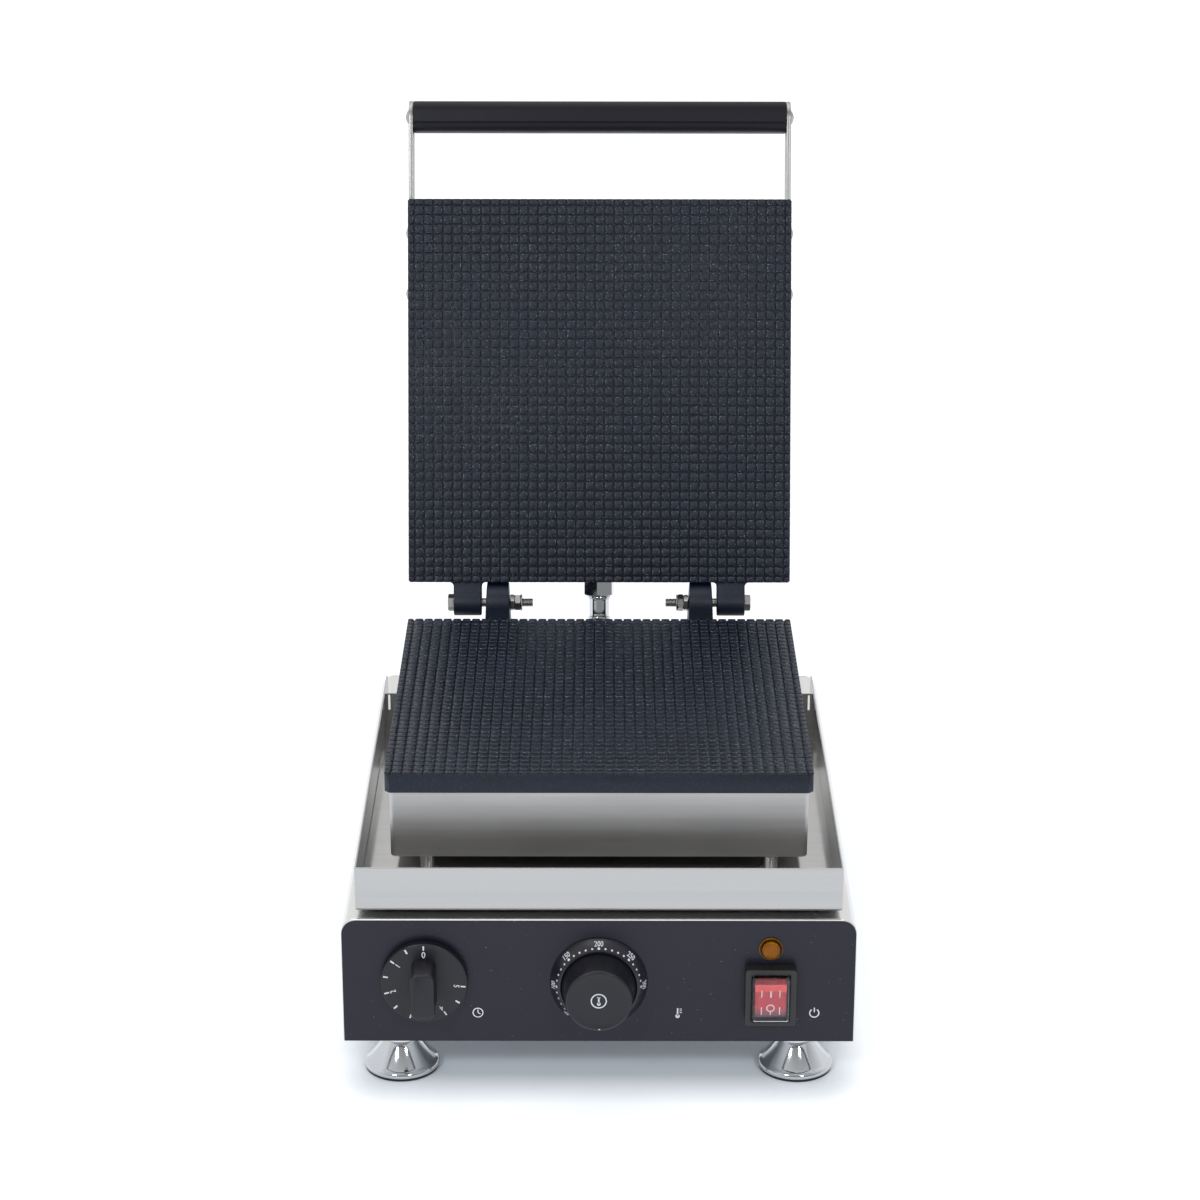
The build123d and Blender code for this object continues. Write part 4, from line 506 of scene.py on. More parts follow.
class Shell:
    """Closed bodies of one piece while they are shaped, in millimetres."""

    def __init__(self) -> None:
        """Starts with nothing."""
        self.bm = bmesh.new()

    def rings(self, rings: list[list[Vector]], looped: bool = False) -> "Shell":
        """Joins rings of points to a skin.

        Args:
            rings: Rings of equal length. A ring of one point is a pole.
            looped: Whether the last ring joins the first, as round a bore.

        Returns:
            This shell.
        """
        made = [[self.bm.verts.new(point) for point in ring] for ring in rings]
        pairs = list(zip(made, made[1:])) + ([(made[-1], made[0])] if looped else [])
        for low, high in pairs:
            count = max(len(low), len(high))
            for step in range(count):
                after = (step + 1) % count
                ends = ((low, step), (low, after), (high, after), (high, step))
                corners = [ring[place % len(ring)] for ring, place in ends]
                corners = [corner for place, corner in enumerate(corners) if corner not in corners[:place]]
                self.bm.faces.new(corners)
        if not looped:
            for ring in (made[0], made[-1]):
                if len(ring) > 1:
                    self.bm.faces.new(ring)
        return self

    def lathe(
        self, profile: list[Pair], place: Matrix = STILL, steps: int = 48, looped: bool = False
    ) -> "Shell":
        """Turns a profile about Z.

        Args:
            profile: Radius and height pairs. A radius of 0 is a pole.
            place: Where the body goes.
            steps: Points round the axis.
            looped: Whether the profile closes on itself.

        Returns:
            This shell.
        """
        rings = []
        for radius, height in profile:
            count = steps if radius else 1
            turns = [2 * pi * step / steps for step in range(count)]
            rings.append([place @ Vector((radius * cos(turn), radius * sin(turn), height)) for turn in turns])
        return self.rings(rings, looped)

    def prism(
        self, outline: list[Pair], low: float, high: float, place: Matrix = STILL, taper: float = 1.0
    ) -> "Shell":
        """Extrudes an outline along Z.

        Args:
            outline: Points round the body.
            low: The height where it starts.
            high: The height where it ends.
            place: Where the body goes.
            taper: The scale of the outline at its end.

        Returns:
            This shell.
        """
        ends = ((low, 1.0), (high, taper))
        return self.rings([[place @ Vector((x * size, y * size, z)) for x, y in outline] for z, size in ends])

    def hexagon(
        self,
        flats: float,
        height: float,
        place: Matrix,
        bore: float = 0.0,
        both: bool = True,
        turn: float = 0.0,
    ) -> "Shell":
        """Makes a nut or a bolt's head with chamfered corners.

        Args:
            flats: The width over the flats.
            height: The body's height along Z.
            place: Where the body goes.
            bore: The radius of its bore, or 0.
            both: Whether the corners are chamfered below too.
            turn: Degrees about Z.

        Returns:
            This shell.
        """
        steps, face = 36, 0.475
        inner = flats * face
        low, rim_low, rim_high, high = [], [], [], []
        for step in range(steps):
            angle = 2 * pi * step / steps
            reach = flats / 2 / cos((angle + pi / 6) % (pi / 3) - pi / 6)
            drop = (reach - inner) * tan(radians(30))
            way = Vector((cos(angle + radians(turn)), sin(angle + radians(turn)), 0))
            low.append(place @ (way * inner))
            rim_low.append(place @ (way * reach + Vector((0, 0, drop if both else 0.01))))
            rim_high.append(place @ (way * reach + Vector((0, 0, height - drop))))
            high.append(place @ (way * inner + Vector((0, 0, height))))
        rings = [low, rim_low, rim_high, high]
        if bore:
            turns = [2 * pi * step / steps for step in range(steps)]
            circle = [Vector((bore * cos(turn), bore * sin(turn), 0)) for turn in turns]
            rings = [[place @ point for point in circle]] + rings
            rings.append([place @ (point + Vector((0, 0, height))) for point in circle])
        return self.rings(rings, bool(bore))

    def thread(
        self, radius: float, length: float, pitch: float, place: Matrix, depth: float = 0.45
    ) -> "Shell":
        """Makes a threaded rod along Z, chamfered at its far end."""
        steps, rows_per_turn, end_slope = 24, 5, 0.8
        rows = ceil(length / pitch * rows_per_turn)
        rings = [[place @ Vector((0, 0, 0))]]
        for row in range(rows + 1):
            height = length * row / rows
            ring = []
            for step in range(steps):
                phase = (height / pitch - step / steps) % 1
                reach = radius - depth * abs(phase * 2 - 1)
                reach = min(reach, radius - depth + (length - height) * end_slope)
                angle = 2 * pi * step / steps
                ring.append(place @ Vector((reach * cos(angle), reach * sin(angle), height)))
            rings.append(ring)
        rings.append([place @ Vector((0, 0, length))])
        return self.rings(rings)

    def rounded(self, width: float, segments: int = 2, angle: float = 32.0) -> "Shell":
        """Rounds every sharp edge."""
        bmesh.ops.recalc_face_normals(self.bm, faces=self.bm.faces)
        bmesh.ops.remove_doubles(self.bm, verts=self.bm.verts, dist=WELD)
        self.bm.normal_update()
        sharp = [
            edge
            for edge in self.bm.edges
            if len(edge.link_faces) == 2 and edge.calc_face_angle(0) > radians(angle)
        ]
        bmesh.ops.bevel(
            self.bm, geom=sharp, offset=width, segments=segments, profile=0.5, affect="EDGES",
            clamp_overlap=False,
        )
        return self

    def turned(self, place: Matrix) -> "Shell":
        """Moves all that is made so far."""
        bmesh.ops.transform(self.bm, matrix=place, verts=self.bm.verts)
        return self

    def with_mesh(self, mesh: Mesh, place: Matrix = STILL) -> "Shell":
        """Adds another mesh and removes it from the file."""
        mesh.transform(place)
        self.bm.from_mesh(mesh)
        bpy.data.meshes.remove(mesh)
        return self

    def mesh(self, name: str, smooth: float = 38.0) -> Mesh:
        """Closes the work.

        Args:
            name: The mesh's name.
            smooth: The angle in degrees above which an edge stays sharp.

        Returns:
            The mesh, with its faces outwards.
        """
        bmesh.ops.recalc_face_normals(self.bm, faces=self.bm.faces)
        mesh = bpy.data.meshes.new(name)
        self.bm.to_mesh(mesh)
        self.bm.free()
        shade_edges(mesh, smooth)
        return mesh


def shade_edges(mesh: Mesh, smooth: float = 38.0) -> None:
    """Shades a mesh smooth but for its edges above an angle in degrees."""
    mesh.polygons.foreach_set("use_smooth", [True] * len(mesh.polygons))
    mesh.set_sharp_from_angle(angle=radians(smooth))


def square_off(mesh: Mesh, ratio: float = 8.0) -> None:
    """Keeps broad flat faces flat, by sharp edges where a face meets one that is many times smaller."""
    least_angle = 0.008
    bm = bmesh.new()
    bm.from_mesh(mesh)
    for edge in bm.edges:
        if len(edge.link_faces) == 2 and edge.calc_face_angle(0) > least_angle:
            small, large = sorted(face.calc_area() for face in edge.link_faces)
            if large > ratio * small:
                edge.smooth = False
    bm.to_mesh(mesh)
    bm.free()


def arc(centre: Pair, radius: float, start: float, end: float, steps: int = 8) -> list[Pair]:
    """Returns points of an arc, by its angles in degrees."""
    turns = [radians(start + (end - start) * step / steps) for step in range(steps + 1)]
    return [(centre[0] + radius * cos(turn), centre[1] + radius * sin(turn)) for turn in turns]


def rounded_box(width: float, height: float, radius: float, steps: int = 6) -> list[Pair]:
    """Returns the outline of a rectangle with round corners, about the middle."""
    x, y = width / 2 - radius, height / 2 - radius
    corners = (((x, y), 0), ((-x, y), 90), ((-x, -y), 180), ((x, -y), 270))
    return [point for centre, turn in corners for point in arc(centre, radius, turn, turn + 90, steps)]


def settled(maker: bpy.types.Object, name: str) -> Mesh:
    """Takes an object's shape with its modifiers as a plain mesh, and removes the object.

    Args:
        maker: The object, with modifiers or as text.
        name: The mesh's name.

    Returns:
        The mesh.
    """
    if maker.name not in bpy.context.scene.collection.objects:
        bpy.context.scene.collection.objects.link(maker)
    seen = maker.evaluated_get(bpy.context.evaluated_depsgraph_get())
    mesh = bpy.data.meshes.new_from_object(seen)
    mesh.name = name
    bpy.data.objects.remove(maker)
    return mesh


def carved(mesh: Mesh, cutter: Mesh) -> Mesh:
    """Returns a mesh less a cutter's shape."""
    body, tool = bpy.data.objects.new("body", mesh), placed("tool", cutter)
    cut = body.modifiers.new("cut", "BOOLEAN")
    cut.operation, cut.solver, cut.object = "DIFFERENCE", "MANIFOLD", tool
    result = settled(body, mesh.name)
    bpy.data.objects.remove(tool)
    return result


def softened(node: str, width: float, segments: int = 2, angle: float = 40.0) -> Mesh:
    """Copies a CAD node with its edges rounded.

    Args:
        node: The node's name.
        width: The edges' width in millimetres.
        segments: How many faces round an edge.
        angle: The angle in degrees above which an edge is rounded.

    Returns:
        The mesh, in millimetres.
    """
    bm = bmesh.new()
    bm.from_mesh(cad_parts[node].data)
    bmesh.ops.remove_doubles(bm, verts=bm.verts, dist=CAD_WELD)
    bmesh.ops.dissolve_limit(bm, angle_limit=radians(0.6), verts=bm.verts, edges=bm.edges)
    mesh = bpy.data.meshes.new(node)
    bm.to_mesh(mesh)
    bm.free()
    mesh.materials.clear()
    mesh.transform(FROM_FRAME)
    maker = bpy.data.objects.new(node, mesh)
    if width:
        bevel = maker.modifiers.new("edges", "BEVEL")
        bevel.width, bevel.segments, bevel.use_clamp_overlap = width, segments, False
        bevel.limit_method, bevel.angle_limit = "ANGLE", radians(angle)
    result = settled(maker, node + "_soft")
    shade_edges(result, 30.0)
    square_off(result)
    return result


class Growth:
    """A Geometry Nodes tree with named inputs for its sizes."""

    def __init__(self, name: str, **inputs: object) -> None:
        """Starts a tree.

        Args:
            name: The tree's name.
            inputs: Its inputs by name: a default float or int, or a socket type for an object or material.
        """
        self.tree = bpy.data.node_groups.new(name, "GeometryNodeTree")
        ports = self.tree.interface
        ports.new_socket("Geometry", in_out="OUTPUT", socket_type="NodeSocketGeometry")
        ports.new_socket("Geometry", in_out="INPUT", socket_type="NodeSocketGeometry")
        kinds = {float: "NodeSocketFloat", int: "NodeSocketInt"}
        self.ports = {}
        for key, value in inputs.items():
            kind = value if isinstance(value, str) else kinds[type(value)]
            self.ports[key] = ports.new_socket(key, in_out="INPUT", socket_type=kind)
            if not isinstance(value, str):
                self.ports[key].default_value = value
        self.start = self.tree.nodes.new("NodeGroupInput")
        self.end = self.tree.nodes.new("NodeGroupOutput")

    def given(self, name: str) -> Socket:
        """Returns an input's socket inside the tree."""
        return self.start.outputs[name]

    def add(self, kind: str, inputs: dict, **settings: object) -> bpy.types.Node:
        """Adds a node, with values, sockets or lists of sockets for its inputs by name or number."""
        return wire(self.tree, kind, inputs, **settings)

    def sum(self, first: object, second: object, operation: str = "ADD") -> Socket:
        """Returns two values put together."""
        return self.add("ShaderNodeMath", {0: first, 1: second}, operation=operation).outputs[0]

    def close(self, geometry: Socket, finish: Socket) -> None:
        """Ends the tree: instances become real and get their material."""
        real = self.add("GeometryNodeRealizeInstances", {0: geometry}).outputs[0]
        done = self.add("GeometryNodeSetMaterial", {"Geometry": real, "Material": finish}).outputs[0]
        self.tree.links.new(done, self.end.inputs[0])

    def grown(self, name: str, host: Mesh, **values: object) -> Mesh:
        """Runs the tree.

        Args:
            name: The result's name.
            host: The mesh that carries the modifier.
            values: The inputs by name.

        Returns:
            The plain mesh.
        """
        maker = bpy.data.objects.new(name, host)
        work = maker.modifiers.new("growth", "NODES")
        work.node_group = self.tree
        for key, value in values.items():
            work[self.ports[key].identifier] = value
        return settled(maker, name)


@lru_cache(maxsize=None)
def repeating() -> Growth:
    """Returns the tree that sets one part at every point of a mesh, turned by the points' attribute."""
    growth = Growth("repeating", Part="NodeSocketObject", Finish="NodeSocketMaterial")
    part = growth.add("GeometryNodeObjectInfo", {"Object": growth.given("Part"), "As Instance": True})
    turn = growth.add("GeometryNodeInputNamedAttribute", {"Name": "turn"}, data_type="FLOAT_VECTOR")
    rotation = growth.add("FunctionNodeEulerToRotation", {0: turn.outputs[0]}).outputs[0]
    inputs = {"Points": growth.given("Geometry"), "Instance": part.outputs["Geometry"], "Rotation": rotation}
    growth.close(growth.add("GeometryNodeInstanceOnPoints", inputs).outputs[0], growth.given("Finish"))
    return growth


def repeated(part: Mesh, places: list[Matrix], finish: object) -> Mesh:
    """Sets a part at each of several places.

    Args:
        part: The part, standing on the origin.
        places: Where the copies go.
        finish: The finish that they get.

    Returns:
        One mesh of all the copies.
    """
    host = bpy.data.meshes.new("places")
    host.from_pydata([place.translation for place in places], [], [])
    turns = host.attributes.new("turn", "FLOAT_VECTOR", "POINT")
    turns.data.foreach_set("vector", [angle for place in places for angle in place.to_euler()])
    pattern = placed("pattern", part)
    mesh = repeating().grown(part.name + "_all", host, Part=pattern, Finish=dressed(finish))
    bpy.data.objects.remove(pattern)
    shade_edges(mesh)
    return mesh


def show(name: str, mesh: Mesh, finish: object, body: str, replaces: tuple = ()) -> bpy.types.Object:
    """Puts a finished piece into the scene.

    Args:
        name: The piece's name.
        mesh: Its shape in millimetres.
        finish: Its finish.
        body: The CAD body that it rides on.
        replaces: The CAD nodes that it stands for.

    Returns:
        The piece's object.
    """
    if isinstance(finish, BrushedSteel):
        side = [float(abs(face.normal.x) > 0.7) for face in mesh.polygons]
        mesh.attributes.new("side", "FLOAT", "FACE").data.foreach_set("value", side)
    mesh.transform(TO_FRAME)
    mesh.materials.clear()
    mesh.materials.append(dressed(finish))
    piece = placed(name, mesh)
    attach(piece, body)
    if replaces:
        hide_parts(*replaces)
    LOG.info("%s rides on %s, %d faces", name, body, len(mesh.polygons))
    return piece


def show_copies(name: str, part: Mesh, spots: list[Matrix], finish: object, body: str, node: str) -> None:
    """Shows copies of a part at several places as one piece that stands for a CAD node."""
    show(name, repeated(part, spots, finish), finish, body, (node,))


def dress_nodes(finish: object, *nodes: str) -> None:
    """Gives CAD nodes that stay a better material."""
    for node in nodes:
        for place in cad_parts[node].material_slots:
            place.material = dressed(finish)
        LOG.info("%s keeps its shape, finish %s", node, finish.name)


class Ink:
    """Thin printed marks: flat shapes with a hair of thickness, standing on Z 0 and read from above."""

    THICKNESS = 0.05
    SUNK = 0.02

    def __init__(self) -> None:
        """Starts with no marks."""
        self.shell = Shell()

    def flat(self, outline: list[Pair]) -> "Ink":
        """Adds a flat shape by its outline."""
        self.shell.prism(outline, -self.SUNK, self.THICKNESS)
        return self

    def bar(self, start: Pair, end: Pair, width: float) -> "Ink":
        """Adds a straight stroke."""
        along = Vector(end) - Vector(start)
        across = Vector((-along.y, along.x)).normalized() * width / 2
        corners = [Vector(start) - across, Vector(end) - across, Vector(end) + across, Vector(start) + across]
        return self.flat([tuple(corner) for corner in corners])

    def disc(self, centre: Pair, radius: float) -> "Ink":
        """Adds a dot."""
        steps = 16
        return self.flat(arc(centre, radius, 0, 360 - 360 / steps, steps - 1))

    def bow(
        self, centre: Pair, radius: float, width: float, start: float = 0.0, sweep: float = 360.0
    ) -> "Ink":
        """Adds a ring, or a part of one by its angles in degrees."""
        steps = 40
        if sweep >= 360.0:
            rings = []
            for side, level in ((1, -self.SUNK), (1, self.THICKNESS), (-1, self.THICKNESS), (-1, -self.SUNK)):
                circle = arc(centre, radius + side * width / 2, 0, 360 - 360 / steps, steps - 1)
                rings.append([Vector((*point, level)) for point in circle])
            self.shell.rings(rings, True)
            return self
        outer = arc(centre, radius + width / 2, start, start + sweep, steps)
        inner = arc(centre, radius - width / 2, start, start + sweep, steps)
        return self.flat(outer + inner[::-1])

    def mesh(self, name: str) -> Mesh:
        """Returns the marks' mesh."""
        return self.shell.mesh(name)


def digits(text: str, height: float, narrow: float, bold: float = 0.0) -> Mesh:
    """Returns numbers as a thin solid about the origin, by their height in millimetres."""
    digit_share = 0.73
    curve = bpy.data.curves.new(text, "FONT")
    curve.body, curve.size = text, height / digit_share
    curve.align_x, curve.align_y = "CENTER", "CENTER"
    curve.resolution_u, curve.offset = 3, bold
    curve.extrude = (Ink.THICKNESS + Ink.SUNK) / 2
    mesh = settled(bpy.data.objects.new(text, curve), text)
    spans = [[vertex.co[axis] for vertex in mesh.vertices] for axis in (0, 1)]
    middle = [(min(span) + max(span)) / 2 for span in spans]
    lift = (Ink.THICKNESS - Ink.SUNK) / 2
    mesh.transform(Matrix.Diagonal((narrow, 1, 1, 1)) @ Matrix.Translation((-middle[0], -middle[1], lift)))
    bm = bmesh.new()
    bm.from_mesh(mesh)
    bmesh.ops.remove_doubles(bm, verts=bm.verts, dist=WELD)
    bm.to_mesh(mesh)
    bm.free()
    return mesh


def wrapped(mesh: Mesh, angle: float, radius: float, height: float, slope: float = 0.0) -> Mesh:
    """Lays flat marks on a dial's face.

    Args:
        mesh: Marks about the origin, up being away from the dial's middle.
        angle: Degrees clockwise from the dial's top.
        radius: The radius at the marks' origin.
        height: The face's height above the panel there.
        slope: Degrees by which the face falls towards the outside.

    Returns:
        The same mesh, about the dial's middle, with +Z out of the panel.
    """
    tilt = radians(slope)
    for vertex in mesh.vertices:
        across, up, out = vertex.co
        reach = radius + up * cos(tilt) + out * sin(tilt)
        turn = radians(angle) + across / radius
        vertex.co = (reach * sin(turn), reach * cos(turn), height - up * sin(tilt) + out * cos(tilt))
    return mesh


@lru_cache(maxsize=None)
def cross_cutter(radius: float, depth: float, top: float) -> Mesh:
    """Returns a cross-shaped recess's cutter, by its reach, its depth and the head's height."""
    shell = Shell()
    above, narrow, taper = 0.5, 0.24, 0.55
    for turn in (0, 90):
        width = radius * narrow
        outline = [(-radius, -width), (radius, -width), (radius, width), (-radius, width)]
        down = Matrix.Translation((0, 0, top + above)) @ Matrix.Rotation(pi, 4, "X")
        shell.prism(outline, 0, depth + above, Matrix.Rotation(radians(turn), 4, "Z") @ down, taper)
    return shell.mesh("cross")


def domed_screw(radius: float, height: float, shank: float, length: float) -> Mesh:
    """Returns a screw with a domed head and a cross recess, its head standing on Z 0.

    Args:
        radius: The head's radius.
        height: The head's height.
        shank: The shank's radius.
        length: The shank's length below the head.

    Returns:
        The mesh.
    """
    ball = (radius**2 + height**2) / (2 * height)
    spread = atan2(radius, ball - height)
    profile = [(0, -length), (shank * 0.8, -length), (shank, 0.6 - length), (shank, 0.0), (radius, 0.0)]
    steps = 8
    for step in range(1, steps + 1):
        angle = spread * (1 - step / steps)
        profile.append((ball * sin(angle) if step < steps else 0, height - ball + ball * cos(angle)))
    head = Shell().lathe(profile, steps=32).mesh("domed_screw", 50)
    return carved(head, cross_cutter(radius * 0.52, height * 0.7, height).copy())


# The room


@dataclass
class Studio:
    """The camera, the pale floor and soft light."""

    lens: float = 95.577
    sensor: float = 36.0
    sight: float = 60.0
    pitch: float = 20.653
    roll: float = 0.087
    yaw: float = -0.032
    place: Point = (-0.00058, -1.9370, 0.9729)
    floor_half: float = 12.0
    footprint: Point = (0.13, 0.19, 0.0)
    fade: float = 0.038
    near: float = 0.03
    far: float = 0.56
    distant: float = 0.16
    distant_reach: Pair = (0.5, 1.6)
    tint: tuple = (0.735, 0.79, 0.86, 1.0)
    sky: float = 0.49
    front: float = 0.34
    backdrop: Point = (-0.25, 0.95, 0.15)
    backdrop_span: Pair = (-0.75, 0.15)
    aim: Point = (0, 0, 0.15)
    lamps: tuple = (
        ("left", (-0.85, -1.85, 1.45), 0.3, 10.5),
        ("right", (0.75, -1.85, 1.35), 0.26, 7.0),
        ("top", (-0.3, 0.5, 2.4), 2.0, 13.0),
    )

    def camera(self) -> None:
        """Sets the camera where the photograph was taken from."""
        data = bpy.data.cameras.new("camera")
        data.lens, data.sensor_width, data.clip_end = self.lens, self.sensor, self.sight
        camera = placed("camera", data)
        turn = Matrix.Rotation(radians(self.yaw), 4, "Z") @ Matrix.Rotation(radians(90 - self.pitch), 4, "X")
        roll = Matrix.Rotation(radians(self.roll), 4, "Z")
        camera.matrix_world = Matrix.Translation(self.place) @ turn @ roll
        bpy.context.scene.camera = camera

    def floor(self) -> None:
        """Lays the floor, which shows white but for the object's shadow and a painted shade round the object.
        """
        half = self.floor_half
        mesh = bpy.data.meshes.new("floor")
        corners = [(-half, -half, 0), (half, -half, 0), (half, half, 0), (-half, half, 0)]
        mesh.from_pydata(corners, [], [(0, 1, 2, 3)])
        floor = placed("floor", mesh)
        mesh.materials.append(self.floor_material())

    def floor_material(self) -> Material:
        """Returns the floor's material: matt, and lit up to white for the camera and for reflections, but
        dimmer in and near the object's footprint, which paints shade there.
        """
        surface = Surface("floor", Roughness=0.9, Specular_IOR_Level=0.0)
        rays = surface.add("ShaderNodeLightPath", {}).outputs
        seen = surface.total(rays["Is Camera Ray"], rays["Is Glossy Ray"], "MAXIMUM")
        seen = surface.total(seen, rays["Is Transmission Ray"], "MAXIMUM")
        # Painted shade: the glow is weakest inside the object's footprint and reaches its full strength
        # within fade beyond it, so the floor under and just round the object shows darker, beside its real
        # shadow.
        beyond = surface.vector("SUBTRACT", surface.vector("ABSOLUTE", surface.coordinates), self.footprint)
        reach = surface.vector("LENGTH", surface.vector("MAXIMUM", beyond, (0, 0, 0)), output="Value")
        glow = surface.band(reach, 0.0, self.fade, self.near, self.far)
        glow = surface.total(glow, surface.band(reach, *self.distant_reach, 0.0, self.distant))
        shown = surface.total(glow, seen, "MULTIPLY")
        return surface.finish(Base_Color=self.tint, Emission_Color=WHITE, Emission_Strength=shown)

    def lights(self) -> None:
        """Hangs the soft lights and sets the sky."""
        world = bpy.data.worlds.new("sky")
        bpy.context.scene.world = world
        world.use_nodes = True
        tree = world.node_tree
        rays = wire(tree, "ShaderNodeLightPath", {}).outputs
        seen = rays["Is Camera Ray"]
        for ray in ("Is Glossy Ray", "Is Transmission Ray"):
            seen = wire(tree, "ShaderNodeMath", {0: seen, 1: rays[ray]}, operation="MAXIMUM").outputs[0]
        ways = wire(tree, "ShaderNodeTexCoord", {}).outputs["Generated"]
        facing = wire(tree, "ShaderNodeVectorMath", {0: ways, 1: self.backdrop}, operation="DOT_PRODUCT")
        low, high = self.backdrop_span
        inputs = {"Value": facing.outputs["Value"], "From Min": low, "From Max": high}
        inputs |= {"To Min": self.front, "To Max": 1.0}
        behind = wire(tree, "ShaderNodeMapRange", inputs).outputs[0]
        either = {0: behind, 1: rays["Is Camera Ray"]}
        plain = wire(tree, "ShaderNodeMath", either, operation="MAXIMUM").outputs[0]
        strength = wire(tree, "ShaderNodeMix", {"Factor": seen, "A": self.sky, "B": plain}).outputs[0]
        background = tree.nodes["Background"]
        feed(tree, background.inputs[0], WHITE)
        feed(tree, background.inputs[1], strength)
        for name, place, size, power in self.lamps:
            data = bpy.data.lights.new(name, "AREA")
            data.shape, data.size, data.energy = "SQUARE", size, power
            turn = (Vector(self.aim) - Vector(place)).to_track_quat("-Z", "Y").to_matrix().to_4x4()
            placed(name, data).matrix_world = Matrix.Translation(place) @ turn


# The object


@dataclass(frozen=True)
class Lid:
    """Where the lid turns, and how far it stands open at rest."""

    hinge_y: float = 312.6
    hinge_z: float = 202.6
    angle: float = 107.1

    def opened(self) -> Matrix:
        """Returns the turn from the closed lid's place to the open lid's."""
        centre = Matrix.Translation((0, self.hinge_y, self.hinge_z))
        return centre @ Matrix.Rotation(-radians(self.angle), 4, "X") @ centre.inverted()


LID = Lid()
# The middle of both plates, from front to rear.
PLATES_Y = 168.5
# Where the legs stand and the lid's screws sit: X and Y of the studs behind both plates.
STUDS = ((-106.0, 64.0), (-106.0, 273.0), (106.0, 64.0), (106.0, 273.0))


@dataclass
class Feet:
    """Four chromed bells with studs, rubber pads and nuts."""

    places: tuple = ((-122.5, 33.0), (122.5, 33.0), (-122.5, 363.0), (122.5, 363.0))
    pad: float = 2.0
    radius: float = 23.5
    top: float = 34.2
    neck: float = 10.5
    nut_z: float = 35.7

    def bell(self) -> Mesh:
        """Returns one foot: a rolled rim, a hollow cone and a neck with its stud."""
        low = self.pad
        profile = [(0, low), (self.radius - 1.2, low), (self.radius - 0.35, low + 0.15)]
        profile += [(self.radius, low + 0.7), (self.radius, low + 1.5)]
        rim = ((0.15, 2.2), (0.65, 3.1), (1.5, 3.8))
        profile += [(self.radius - inward, low + rise) for inward, rise in rim]
        for step in range(1, 15):
            share = step / 14
            reach = 22.0 + (12.9 - 22.0) * share - 0.8 * share * (1 - share)
            rise = 5.6 + 11.6 * share - 1.2 * share * (1 - share)
            profile.append((reach, rise))
        profile += [(12.2, 18.3), (11.5, 19.4), (10.9, 20.3), (self.neck, 21.4), (self.neck, 33.6)]
        profile.append((10.2, self.top))
        profile += [(4.0, self.top), (4.0, 47.2), (0, 47.2)]
        return Shell().lathe(profile, steps=96).mesh("bell", 50)

    def build(self) -> None:
        """Makes all that belongs to the feet."""
        spots = upright(self.places)
        nodes = ("foot_front_left", "foot_front_right", "foot_rear_left", "foot_rear_right")
        for node, spot in zip(nodes, spots):
            show_copies(node.replace("foot", "bell"), self.bell(), [spot], CHROME, "base", node)
        profile = [(0, 0.02), (22.2, 0.02), (22.8, 0.5), (22.8, 1.6), (22.3, 2.0), (0, 2.0)]
        pad = Shell().lathe(profile, steps=72)
        show_copies("bell_pads", pad.mesh("pad"), spots, RUBBER, "base", "foot_pads")
        nut = Shell().hexagon(13.0, 6.5, STILL, 4.05, turn=30.0).mesh("nut")
        show_copies("bell_nuts", nut, upright(self.places, self.nut_z), ZINC, "base", "foot_nuts")


